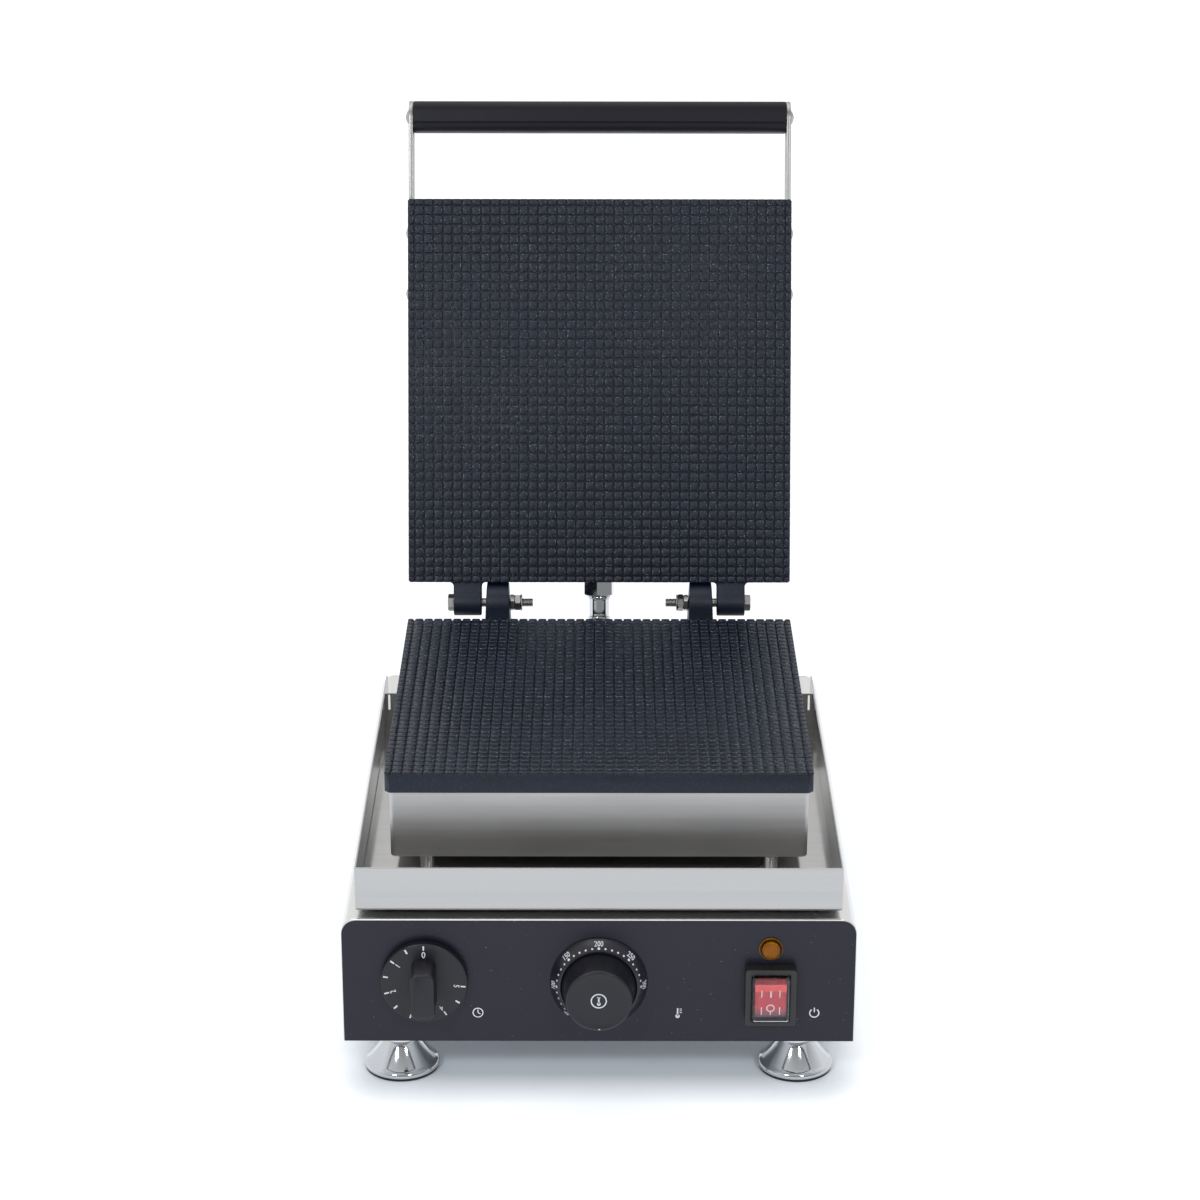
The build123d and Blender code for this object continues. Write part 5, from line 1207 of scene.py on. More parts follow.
@dataclass
class Housing:
    """The folded cover, its front and rear panels, the base plate and the side screws."""

    width: float = 312.0
    top: float = 115.2
    fold: float = 9.0
    bead: float = 1.2
    low: float = 34.2
    screw_rows: tuple = (40.0, 198.0, 356.0)
    screw_rise: float = 7.0
    panel_lift: float = 0.55
    lift_from: float = 90.0
    lift_over: float = 24.0

    def build(self) -> None:
        """Makes the housing's pieces."""
        cover = Shell().with_mesh(softened("housing_cover", 0.35)).with_mesh(self.hem())
        cover = cover.mesh("cover_sheet", 30)
        square_off(cover)
        show("cover_sheet", cover, STEEL_Y, "base", ("housing_cover",))
        panel = softened("front_panel", 0.45, 3)
        for vertex in panel.vertices:
            share = (vertex.co.z - self.lift_from) / self.lift_over
            vertex.co.z += self.panel_lift * max(0.0, min(1.0, share))
        show("panel_front", panel, PANEL, "base", ("front_panel",))
        show("panel_rear", softened("rear_panel", 0.3), STEEL_X, "base", ("rear_panel",))
        show("floor_plate", softened("base_plate", 0.25), STEEL_Y, "base", ("base_plate",))
        screw = domed_screw(3.4, 1.6, 1.85, 6.9)
        spots = []
        for side, facing in SIDES:
            x, z = side * self.width / 2, self.low + self.screw_rise
            spots += [facing.at(x, y, z) for y in self.screw_rows]
        show_copies("side_screws", screw, spots, ZINC, "base", "housing_screws")
        show("panel_marks", self.marks(), PANEL_INK, "base")

    def hem(self) -> Mesh:
        """Returns the cover's rounded front edge, which frames the panel at its sides and above it."""
        half, top, radius = self.width / 2, self.top, self.fold
        line = [(-half, self.low + 0.6, 180)]
        for side, start in ((-1, 180), (1, 90)):
            centre = (side * (half - radius), top - radius)
            for step in range(13):
                turn = start - step * 7.5
                line.append((*arc(centre, radius, turn, turn, 1)[0], turn))
        line.append((half, self.low + 0.6, 0))
        section = (
            (1.7, 4.9), (1.25, 4.9), (0.75, 4.2), (0.2, 3.2), (0.0, 2.4),
            (0.05, 1.6), (0.3, 0.9), (0.75, 0.45), (1.7, 0.3),
        )
        rings = []
        for x, z, turn in line:
            out = Vector((cos(radians(turn)), 0, sin(radians(turn))))
            lift = Vector((0, 0, self.bead * out.z))
            rings.append([Vector((x, deep, z)) + lift - out * (inward - 0.01) for inward, deep in section])
        return Shell().rings(rings).mesh("hem", 40)

    def marks(self) -> Mesh:
        """Returns the three small signs beside the controls: for time, for heat and for power."""
        ink = Ink()
        clock, heat, power = (-73.5, 53.8), (48.0, 53.8), (131.2, 53.8)
        ink.bow(clock, 3.0, 0.6)
        ink.bar(clock, (clock[0], clock[1] + 2.1), 0.55).bar(clock, (clock[0] + 1.5, clock[1] - 0.9), 0.55)
        ink.disc((heat[0], heat[1] - 2.2), 1.35).bar((heat[0], heat[1] - 2.0), (heat[0], heat[1] + 3.2), 0.9)
        for row in (0.2, 1.4, 2.6):
            ink.bar((heat[0] + 1.2, heat[1] + row), (heat[0] + 2.6, heat[1] + row), 0.45)
        ink.bow(power, 2.8, 0.75, 125, 290).bar((power[0], power[1] + 0.6), (power[0], power[1] + 3.6), 0.75)
        mesh = ink.mesh("panel_marks")
        mesh.transform(Facing.FRONT.at(0, 0, 0))
        return mesh


@dataclass
class DripTray:
    """The folded tray with its wings, on four rubber buffers, and the legs and duct through it."""

    buffers: tuple = ((-127.0, 25.8), (-127.0, 263.0), (127.0, 25.8), (127.0, 263.0))
    nut_z: float = 109.7

    def build(self) -> None:
        """Makes the tray's pieces."""
        show("tray_sheet", softened("drip_tray", 0.3), TRAY_STEEL, "base", ("drip_tray",))
        profile = [(0, 115.2), (5.6, 115.2), (6.0, 115.6), (6.0, 118.8), (5.6, 119.2), (0, 119.2)]
        buffer = Shell().lathe(profile)
        show_copies("tray_feet", buffer.mesh("buffer"), upright(self.buffers), RUBBER, "base", "tray_buffers")
        profile = [(0, 105.2), (2.4, 105.2), (2.4, 115.2), (4.1, 115.2), (4.5, 115.6), (4.5, 136.6)]
        profile += [(4.1, 137.0), (2.4, 137.0), (2.4, 188.8), (0, 188.8)]
        leg = Shell().lathe(profile, steps=40)
        show_copies("legs", leg.mesh("leg"), upright(STUDS), STEEL_Y, "base", "support_legs")
        nut = Shell().hexagon(8.0, 4.0, STILL, 2.55, turn=30.0).mesh("leg_nut")
        show_copies("legs_nuts", nut, upright(STUDS, self.nut_z), ZINC, "base", "leg_nuts")
        profile = [(9.0, 109.7), (11.0, 109.7), (11.0, 142.2), (9.0, 142.2)]
        duct = Shell().lathe(profile, Facing.UP.at(0, PLATES_Y, 0), 56, True)
        show("duct", duct.rounded(0.3).mesh("duct"), STEEL_Y, "base", ("cable_duct",))


@dataclass
class BakingPlates:
    """Both baking plates: a slab with 39 by 39 squares and narrower edge strips, and the hinge's lugs."""

    size: float = 260.0
    thickness: float = 13.4
    pitch: float = 6.44
    groove: float = 1.0
    depth: float = 1.3
    edge: float = 0.38
    count: int = 39
    low: float = 182.8
    middle_y: float = PLATES_Y
    face_gap: float = 0.5
    lug_z: Pair = (198.0, 210.1)
    sunk: float = 0.15
    lean: float = 0.011
    # The strength of the painted shade in the grooves.
    deep_share: float = 0.6
    root_y: float = 297.8
    root_z: float = 194.9
    lower_lug_x: float = 69.2
    lower_lug_radius: float = 12.6
    upper_lug_x: float = 89.8
    upper_lug_radius: float = 8.9

    def pad_tree(self) -> bpy.types.GeometryNodeTree:
        """Returns the tree of one square: an outline with cut corners, raised, its top edge rounded."""
        growth = Growth("square", Width=1.0, Length=1.0, Height=1.0, Corner=0.3, Edge=0.3)
        sizes = {"Width": growth.given("Width"), "Height": growth.given("Length")}
        outline = growth.add("GeometryNodeCurvePrimitiveQuadrilateral", sizes).outputs[0]
        corner = {"Curve": outline, "Radius": growth.given("Corner"), "Count": 1}
        outline = growth.add("GeometryNodeFilletCurve", corner, mode="POLY").outputs[0]
        face = growth.add("GeometryNodeFillCurve", {"Curve": outline}, mode="NGONS").outputs[0]
        top, skin = face, [growth.add("GeometryNodeFlipFaces", {0: face}).outputs[0]]
        wall = growth.sum(growth.given("Height"), growth.given("Edge"), "SUBTRACT")
        shares = ((None, 0.0), (0.65, 0.35), (0.35, 0.65))
        body, chosen = top, None
        for rise, draw in shares:
            height = wall if rise is None else growth.sum(growth.given("Edge"), rise, "MULTIPLY")
            inputs = {"Mesh": body, "Offset Scale": height, "Individual": False}
            if chosen is not None:
                inputs["Selection"] = chosen
            raised = growth.add("GeometryNodeExtrudeMesh", inputs, mode="FACES")
            body, chosen = raised.outputs[0], raised.outputs[1]
            if draw:
                cut = growth.sum(growth.given("Edge"), 2 * draw, "MULTIPLY")
                loss = growth.sum(cut, growth.given("Width"), "DIVIDE")
                scale = growth.sum(1.0, loss, "SUBTRACT")
                inputs = {0: body, "Selection": chosen, "Scale": scale}
                body = growth.add("GeometryNodeScaleElements", inputs).outputs[0]
        whole = growth.add("GeometryNodeJoinGeometry", {0: [body] + skin}).outputs[0]
        whole = growth.add("GeometryNodeMergeByDistance", {0: whole, "Distance": 0.001}).outputs[0]
        growth.tree.links.new(whole, growth.end.inputs[0])
        return growth.tree

    def tree(self) -> Growth:
        """Returns the tree of a whole plate, its face up and its back at Z 0."""
        growth = Growth(
            "baking_plate", Size=1.0, Thickness=1.0, Pitch=1.0, Groove=1.0, Depth=1.0, Count=1, Corner=1.0,
            Edge=0.1, Seed=1, Finish="NodeSocketMaterial",
        )
        pads = self.pad_tree()
        given = growth.given
        sink = growth.sum(given("Depth"), self.sunk)
        base = growth.sum(given("Thickness"), given("Depth"), "SUBTRACT")
        square = growth.sum(given("Pitch"), given("Groove"), "SUBTRACT")
        span = growth.sum(growth.sum(given("Count"), 1, "SUBTRACT"), given("Pitch"), "MULTIPLY")
        inner = growth.sum(span, growth.sum(square, growth.sum(given("Groove"), 2, "MULTIPLY")))
        strip = growth.sum(growth.sum(given("Size"), inner, "SUBTRACT"), 0.5, "MULTIPLY")
        centre = growth.sum(given("Size"), strip, "SUBTRACT")

        def pad(width: object, length: object, height: object, corner: object, edge: object) -> object:
            """Adds one square's group and returns its geometry."""
            values = {"Width": width, "Length": length, "Height": height, "Corner": corner, "Edge": edge}
            return growth.add("GeometryNodeGroup", values, node_tree=pads).outputs[0]

        slab = pad(given("Size"), given("Size"), base, given("Corner"), 0.2)
        kinds = (
            (square, square, span, span, given("Count"), given("Count")),
            (strip, square, centre, span, 2, given("Count")),
            (square, strip, span, centre, given("Count"), 2),
            (strip, strip, centre, centre, 2, 2),
        )
        parts = [slab]
        for place, (width, length, span_x, span_y, count_x, count_y) in enumerate(kinds):
            one = pad(width, length, sink, 0.55 if place < 3 else 1.2, given("Edge"))
            inputs = {"Size X": span_x, "Size Y": span_y, "Vertices X": count_x, "Vertices Y": count_y}
            grid = growth.add("GeometryNodeMeshGrid", inputs).outputs[0]
            lean = {"Seed": growth.sum(given("Seed"), place)}
            random = growth.add("FunctionNodeRandomValue", lean, data_type="FLOAT_VECTOR")
            random.inputs[0].default_value = (-self.lean, -self.lean, 0.0)
            random.inputs[1].default_value = (self.lean, self.lean, 0.0)
            rotation = growth.add("FunctionNodeEulerToRotation", {0: random.outputs[0]}).outputs[0]
            inputs = {"Points": grid, "Instance": one, "Rotation": rotation}
            parts.append(growth.add("GeometryNodeInstanceOnPoints", inputs).outputs[0])
        lift = growth.add("ShaderNodeCombineXYZ", {2: growth.sum(base, self.sunk, "SUBTRACT")}).outputs[0]
        squares = growth.add("GeometryNodeJoinGeometry", {0: parts[1:]}).outputs[0]
        squares = growth.add("GeometryNodeTransform", {"Geometry": squares, "Translation": lift}).outputs[0]
        growth.close(growth.add("GeometryNodeJoinGeometry", {0: [slab, squares]}).outputs[0], given("Finish"))
        return growth

    def weathered(self, mesh: Mesh, place: Matrix) -> Mesh:
        """Notes on a plate where the grooves are deep, for their painted shade, and each point's place on the
        squares' grid, for the painted glints near the rims.

        Args:
            mesh: The plate's mesh.
            place: Where the plate was set, from standing on the origin with its face up.

        Returns:
            The same mesh.
        """
        # The middle square's place on the grid, so that whole numbers fall between squares.
        start = 50.5
        # A point this near to the plate's side, or this far down, isn't on a square's top.
        rim, down = 0.25, 0.7
        back, half = place.inverted(), self.size / 2
        deep, spots = [], []
        for face in mesh.polygons:
            spot = back @ face.center
            below = self.thickness - spot.z
            inside = abs(spot.x) < half and abs(spot.y) < half and self.edge * 0.9 < below < self.depth + 0.1
            # Painted shade: faces down in the grooves get the share that darkens them.
            deep.append(self.deep_share if inside else 0.0)
        for vertex in mesh.vertices:
            spot = back @ vertex.co
            inside = max(abs(spot.x), abs(spot.y)) < half - rim and self.thickness - spot.z < down
            where = [spot.x / self.pitch + start, spot.y / self.pitch + start, 0.5]
            spots += where if inside else [0.5, 0.5, 0.5]
        mesh.attributes.new("deep", "FLOAT", "FACE").data.foreach_set("value", deep)
        mesh.attributes.new("spot", "FLOAT_VECTOR", "POINT").data.foreach_set("vector", spots)
        return mesh

    def lower_lug(self, side: int) -> Shell:
        """Returns the ear behind the lower plate, narrower at the top, with the ledge that stops the lid."""
        y, z, reach = LID.hinge_y, LID.hinge_z, self.lower_lug_radius
        half, narrower, height = 9.0, 1.8, 38.4
        outline = [(self.root_y, self.low), (self.root_y, self.root_z), (y - reach, self.root_z)]
        outline += arc((y, z), reach, 180, 74, 14)
        outline += [(y + 4.06, z + 13.19), (y + 9.79, z + 11.43), (y + reach, z), (y + 7.6, self.low)]
        shell = Shell().prism(outline, -1.0, 1.0, ACROSS)
        for vertex in shell.bm.verts:
            vertex.co.x *= half - narrower * (vertex.co.z - self.low) / height
        return shell.rounded(0.9, 3).turned(Matrix.Translation((side * self.lower_lug_x, 0, 0)))

    def upper_lug(self, side: int) -> Shell:
        """Returns the lug behind the upper plate, a round end on a root as thick as the plate."""
        y, z = LID.hinge_y, LID.hinge_z
        low, high = self.lug_z
        outline = [(self.root_y, low), (y - 9.0, low - 1.8)]
        outline += arc((y, z), self.upper_lug_radius, 240, 450, 22) + [(self.root_y, high)]
        shell = Shell().prism(outline, -9.5, 9.5, ACROSS).rounded(0.9, 3)
        for way in (-1, 1):
            web = [(way * 12.4, 298.0), (way * 9.0, 298.0), (way * 9.0, 301.5)]
            turns = (0, 0.39, 0.79, 1.18, 1.5)
            web += [(way * (12.5 - 3 * cos(turn)), 301.5 - 3 * sin(turn)) for turn in turns]
            shell.prism(web, low + 0.5, high - 0.5)
        return shell.turned(Matrix.Translation((side * self.upper_lug_x, 0, 0)))

    def build(self) -> None:
        """Makes both plates."""
        growth = self.tree()
        sizes = dict(
            Size=self.size, Thickness=self.thickness, Pitch=self.pitch, Groove=self.groove, Depth=self.depth,
            Count=self.count, Corner=3.0, Edge=self.edge, Finish=dressed(IRON),
        )
        lower = growth.grown("lower", bpy.data.meshes.new("lower"), Seed=3, **sizes)
        upper = growth.grown("upper", bpy.data.meshes.new("upper"), Seed=11, **sizes)
        down = Matrix.Rotation(pi, 4, "X")
        top = self.low + 2 * self.thickness + self.face_gap
        for name, mesh, place, lug in (
            ("plate_lower", lower, Matrix.Translation((0, self.middle_y, self.low)), self.lower_lug),
            ("plate_upper", upper, Matrix.Translation((0, self.middle_y, top)) @ down, self.upper_lug),
        ):
            shell = Shell().with_mesh(mesh, place)
            for side in (-1, 1):
                shell.with_mesh(lug(side).mesh("lug"))
            if name == "plate_upper":
                shell.turned(LID.opened())
                mesh = self.weathered(shell.mesh(name, 40), LID.opened() @ place)
                show(name, mesh, IRON, "lid", ("upper_plate",))
            else:
                show(name, self.weathered(shell.mesh(name, 40), place), IRON, "base", ("lower_plate",))


@dataclass
class Casings:
    """The folded steel boxes behind both plates, with the works inside and the screws at the lid's back."""

    top: float = 255.9
    front_y: float = 41.5
    lean: float = 2.7
    low_z: float = 137.0
    rim_z: float = 182.8
    tuft: float = 1.6
    fibre: float = 3.2

    def slab(self, node: str) -> Mesh:
        """Returns a slab of wool inside a node's form, its faces sunk in tufts and hollows.

        Args:
            node: The node that the slab stands for.

        Returns:
            The mesh.
        """
        rough = bpy.data.objects.new("slab", softened(node, 0.0))
        work = rough.modifiers.new("fibres", "REMESH")
        work.mode, work.voxel_size = "VOXEL", self.fibre
        mesh = settled(rough, node + "_slab")
        sunk = []
        for vertex in mesh.vertices:
            share = 0.55 + 0.45 * noise.noise(vertex.co / 9.0) + 0.25 * noise.noise(vertex.co / 3.0)
            sunk.append(vertex.normal * self.tuft * share)
        for vertex, inward in zip(mesh.vertices, sunk):
            vertex.co -= inward
        shade_edges(mesh, 70.0)
        return mesh

    def build(self) -> None:
        """Makes the casings' pieces."""
        lower = softened("lower_casing", 0.3)
        for vertex in lower.vertices:
            if vertex.co.y < self.front_y + 4.0:
                vertex.co.y += self.lean * (self.rim_z - vertex.co.z) / (self.rim_z - self.low_z)
        show("casing_lower", lower, CASING_STEEL, "base", ("lower_casing",))
        show("casing_upper", softened("upper_casing", 0.3), LID_STEEL, "lid", ("upper_casing",))
        screw = domed_screw(5.5, 2.5, 2.45, 51.9)
        spots = [LID.opened() @ spot for spot in upright(STUDS, self.top)]
        show_copies("lid_screws", screw, spots, DULL_ZINC, "lid", "upper_casing_screws")
        dress_nodes(STEEL_X, "lower_clamp", "upper_clamp")
        dress_nodes(ZINC, "lower_clamp_screws", "upper_clamp_screws")
        dress_nodes(HEATER, "lower_heater", "upper_heater")
        dress_nodes(COPPER, "thermostat_bulb")
        show("wool_lower", self.slab("lower_insulation"), WOOL, "base", ("lower_insulation",))
        show("wool_upper", self.slab("upper_insulation"), WOOL, "lid", ("upper_insulation",))


@dataclass
class Hinge:
    """Two bolts with chamfered heads and threaded ends, and two nuts on each."""

    head_x: float = 99.35
    length: float = 54.0
    flats: float = 10.0
    nut_x: float = 60.82
    plain: float = 33.0
    radius: float = 2.97

    def bolt(self, side: int) -> Mesh:
        """Returns one bolt."""
        facing = Facing.RIGHT if side > 0 else Facing.LEFT
        inward = Facing.LEFT if side > 0 else Facing.RIGHT
        y, z = LID.hinge_y, LID.hinge_z
        shell = Shell().hexagon(self.flats, 4.0, facing.at(side * self.head_x, y, z), both=False, turn=-10.0)
        end = self.plain + 0.4
        shank = [(0, 0), (self.radius, 0), (self.radius, self.plain), (2.6, end), (0, end)]
        shell.lathe(shank, inward.at(side * self.head_x, y, z), 32)
        start = inward.at(side * (self.head_x - self.plain), y, z)
        shell.thread(self.radius, self.length - self.plain, 1.0, start)
        return shell.mesh("bolt", 35)

    def build(self) -> None:
        """Makes bolts and nuts."""
        for side, name in NAMED_SIDES:
            show("bolt_" + name, self.bolt(side), DULL_ZINC, "base", ("hinge_bolt_" + name,))
        shell = Shell()
        y, z = LID.hinge_y, LID.hinge_z
        for side, inward in ((-1, Facing.RIGHT), (1, Facing.LEFT)):
            shell.hexagon(self.flats, 3.2, inward.at(side * self.nut_x, y, z), 3.0, turn=30.0)
            start = side * (self.nut_x - 3.2)
            shell.hexagon(self.flats, 4.0, inward.at(start, y, z), 3.0, turn=-16.0)
            rim = [(3.0, 4.0), (5.45, 4.0), (5.7, 4.3), (5.7, 4.7), (5.3, 5.0), (3.0, 5.0)]
            shell.lathe(rim, inward.at(start, y, z), 36, True)
        show("bolt_nuts", shell.mesh("bolt_nuts", 35), DULL_ZINC, "base", ("hinge_nuts",))


@dataclass
class Handle:
    """Two flat arms on the lid's sides, a rounded bar between them, and domed screws."""

    y: float = -19.0
    z: float = 228.2
    rear: float = 114.5
    half: float = 127.5
    thickness: float = 3.0
    width: float = 22.0
    depth: float = 25.0
    height: float = 21.0
    corner: float = 7.0
    screw_y: tuple = (60.1, 101.8)

    def arm(self, side: int) -> Mesh:
        """Returns one arm with round ends."""
        reach = self.width / 2
        outline = arc((self.y, self.z), reach, 90, 270, 16) + arc((self.rear, self.z), reach, -90, 90, 16)
        shell = Shell().prism(outline, 0, self.thickness, ACROSS).rounded(0.4, 2)
        start = self.half if side > 0 else -self.half - self.thickness
        return shell.turned(LID.opened() @ Matrix.Translation((start, 0, 0))).mesh("arm")

    def bar(self) -> Mesh:
        """Returns the bar, with a fine groove along its front and its rear and its ends eased."""
        upper, crease = self.depth / 2, 4.4
        groove = [(5.0, upper - 0.03), (crease, upper - 0.6), (crease - 0.9, upper)]
        corners = rounded_box(self.height, self.depth, self.corner, 8)
        corners[8:9], corners[27:28] = [(5.0, upper - 0.02)], [(5.0, 0.02 - upper)]
        ring = corners[:9] + groove + corners[9:27] + [(y, -z) for y, z in groove[::-1]] + corners[27:]
        place = Matrix.Translation((0, self.y, self.z)) @ ACROSS
        ends = ((-self.half + 0.02, 0.94), (-self.half + 0.5, 0.985), (-self.half + 1.2, 1.0))
        ends += tuple((-start, size) for start, size in ends[::-1])
        rings = [[place @ Vector((py * size, pz * size, start)) for py, pz in ring] for start, size in ends]
        return Shell().rings(rings).turned(LID.opened()).mesh("bar", 30)

    def build(self) -> None:
        """Makes the handle's pieces."""
        for side, name in NAMED_SIDES:
            show("arm_" + name, self.arm(side), ARM_STEEL, "lid", ("handle_arm_" + name,))
        show("grip_bar", self.bar(), HANDLE_BLACK, "lid", ("handle_bar",))
        face = self.half + self.thickness
        for name, node, shank, length, rows in (
            ("arm_fixings", "arm_screws", 2.45, 8.0, self.screw_y),
            ("grip_fixings", "handle_screws", 2.95, 22.0, (self.y,)),
        ):
            screw = domed_screw(5.5, 2.5, shank, length)
            spots = []
            for side, facing in SIDES:
                spots += [LID.opened() @ facing.at(side * face, y, self.z) for y in rows]
            show_copies(name, screw, spots, DULL_ZINC, "lid", node)


@dataclass
class Conduit:
    """The steel hose from the lid down into the housing, with its gland, ferrule and bush."""

    rear: float = 295.5
    z: float = 229.7
    hose: float = 6.2
    bore: float = 4.6
    ferrule: float = 30.3
    bush_y: float = 322.0
    bottom: float = 60.2

    def gland(self) -> Mesh:
        """Returns the hexagonal nut and the ferrule with its two rings."""
        place = Facing.REAR.at(0, self.rear, self.z)
        shell = Shell().hexagon(19.0, 14.0, place, 4.7, turn=8.0)
        shell.lathe([(self.bore, -12.0), (7.4, -12.0), (7.4, 0.5), (self.bore, 0.5)], place, 48, True)
        profile = [(self.bore, 13.5), (6.9, 13.5)]
        for low in (14.0, 27.8):
            ring = ((6.9, 0.05), (7.55, 0.3), (7.8, 0.8), (7.8, 1.5), (7.5, 1.95))
            profile += [(radius, low + rise) for radius, rise in ring]
            if low < 20:
                profile.append((6.9, low + 2.3))
                profile += [(6.9 - 0.12 * (step % 2), 17.0 + step * 0.55) for step in range(19)]
        shell.lathe(profile + [(6.6, 30.0), (self.bore, 30.0)], place, 56, True)
        return shell.turned(LID.opened()).mesh("gland", 35)

    def line(self) -> list[Vector]:
        """Returns close points of the hose's middle line, from the ferrule to its end in the housing."""
        bend_steps, bend_drop, end = 40, 40.0, self.rear + self.ferrule
        start = LID.opened() @ Vector((0, end, self.z))
        ahead = LID.opened() @ Vector((0, end + 1, self.z)) - start
        steps = (self.bush_y - start.y) / ahead.y
        corner = start + ahead * steps
        low = Vector((0, self.bush_y, corner.z - bend_drop))
        points = []
        for step in range(bend_steps):
            share = step / bend_steps
            points.append(start * (1 - share) ** 2 + corner * 2 * share * (1 - share) + low * share**2)
        count = ceil((low.z - self.bottom) / 1.0)
        drop = Vector((0, self.bush_y, self.bottom)) - low
        return points + [low + drop * step / count for step in range(count + 1)]

    def skin(self) -> Mesh:
        """Returns the hose, ribbed as an interlocked steel strip is."""
        corners, pitch, depth = 28, 2.4, 0.28
        points = self.line()
        dense = []
        for first, second in zip(points, points[1:]):
            dense += [first, (first + second) / 2]
        rings, run = [], 0.0
        for place, point in enumerate(dense[:-1]):
            ahead = (dense[place + 1] - point).normalized()
            side = Vector((1, 0, 0))
            up = side.cross(ahead)
            reach = self.hose - depth * abs((run / pitch) % 1 * 2 - 1) ** 2
            turns = [2 * pi * step / corners for step in range(corners)]
            rings.append([point + (side * cos(turn) + up * sin(turn)) * reach for turn in turns])
            run += (dense[place + 1] - point).length
        ends = ((dense[0], rings[0]), (dense[len(rings) - 1], rings[-1]))
        share = self.bore / self.hose
        inner = [[point + (corner - point) * share for corner in ring] for point, ring in ends]
        return Shell().rings([inner[0]] + rings + [inner[1]], False).mesh("hose", 60)

    def build(self) -> None:
        """Makes the conduit's pieces."""
        show("gland", self.gland(), CHROME, "lid", ("lid_gland",))
        mesh = self.skin()
        mesh.transform(TO_FRAME)
        mesh.materials.append(dressed(HOSE))
        hose = placed("hose", mesh)
        line = self.line()
        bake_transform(hose)
        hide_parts("conduit")
        profile = [(6.8, 106.2), (9.8, 106.2), (9.8, 115.2), (12.6, 115.2), (13.0, 115.6), (13.0, 117.3)]
        profile += [(12.6, 117.7), (10.6, 117.9), (9.9, 118.6), (9.8, 122.2), (9.2, 123.6)]
        profile += [(8.2, 124.2), (6.8, 124.2)]
        bush = Shell().lathe(profile, Facing.UP.at(0, self.bush_y, 0), 56, True)
        show("hose_bush", bush.mesh("bush", 40), BUSH_BLACK, "base", ("conduit_bush",))


@dataclass
class TimerControl:
    """The timer's flat skirt with its marks, and the raised grip across it."""

    x: float = -105.6
    z: float = 77.0
    skirt: float = 26.3
    front: float = 6.7
    dish: float = 0.06
    step: float = 26.5
    ring: float = 21.0

    def knob(self) -> Mesh:
        """Returns the knob, standing on the panel at its own place."""
        place = Facing.FRONT.at(self.x, 0, self.z)
        profile = [(0, 3.0), (24.3, 3.0), (24.3, 0.8), (26.2, 0.8), (self.skirt, 1.2), (self.skirt, 5.6)]
        face = self.front - self.dish
        profile += arc((self.skirt - 1.0, 5.6), 1.0, 15, 90, 5) + [(23.0, face), (0, face)]
        shell = Shell().lathe(profile, place, 96)
        levels = (
            (self.front - 0.5, 1.0), (self.front + 0.4, 0.985), (self.front + 1.2, 0.965), (24.4, 0.94),
            (25.1, 0.915), (25.45, 0.88),
        )
        outline = rounded_box(15.2, 31.4, 3.8, 6)
        shell.rings([[place @ Vector((x * size, y * size, z)) for x, y in outline] for z, size in levels])
        return shell.mesh("knob", 32)

    def marks(self) -> Mesh:
        """Returns the minute marks with their numbers, and the shorter ones between."""
        shell, face = Shell(), self.front - self.dish
        for place in (0, 1, 2, 3, 4, 5, 6, 8, 9, 10):
            whole = place % 2 == 0
            ink = Ink().bar((0, 22.2), (0, 25.1), 0.85 if whole else 0.95)
            mesh = ink.mesh("tick")
            mesh.transform(Matrix.Translation((0, -self.ring, 0)))
            shell.with_mesh(wrapped(mesh, -self.step * place, self.ring, face))
            if whole:
                number = digits(str(place // 2), 3.6 if place else 4.3, 0.84, 0.05)
                shell.with_mesh(wrapped(number, -self.step * place, 19.7 if place else 19.2, face))
        return shell.turned(Facing.FRONT.at(self.x, 0, self.z)).mesh("timer_marks")

    def build(self) -> None:
        """Makes the timer's pieces."""
        show("timer_grip", self.knob(), KNOB_BLACK, "timer", ("timer_knob",))
        show("timer_marks", self.marks(), KNOB_INK, "timer")
        dress_nodes(ZINC, "timer_shaft")
        dress_nodes(BAKELITE, "timer_body")


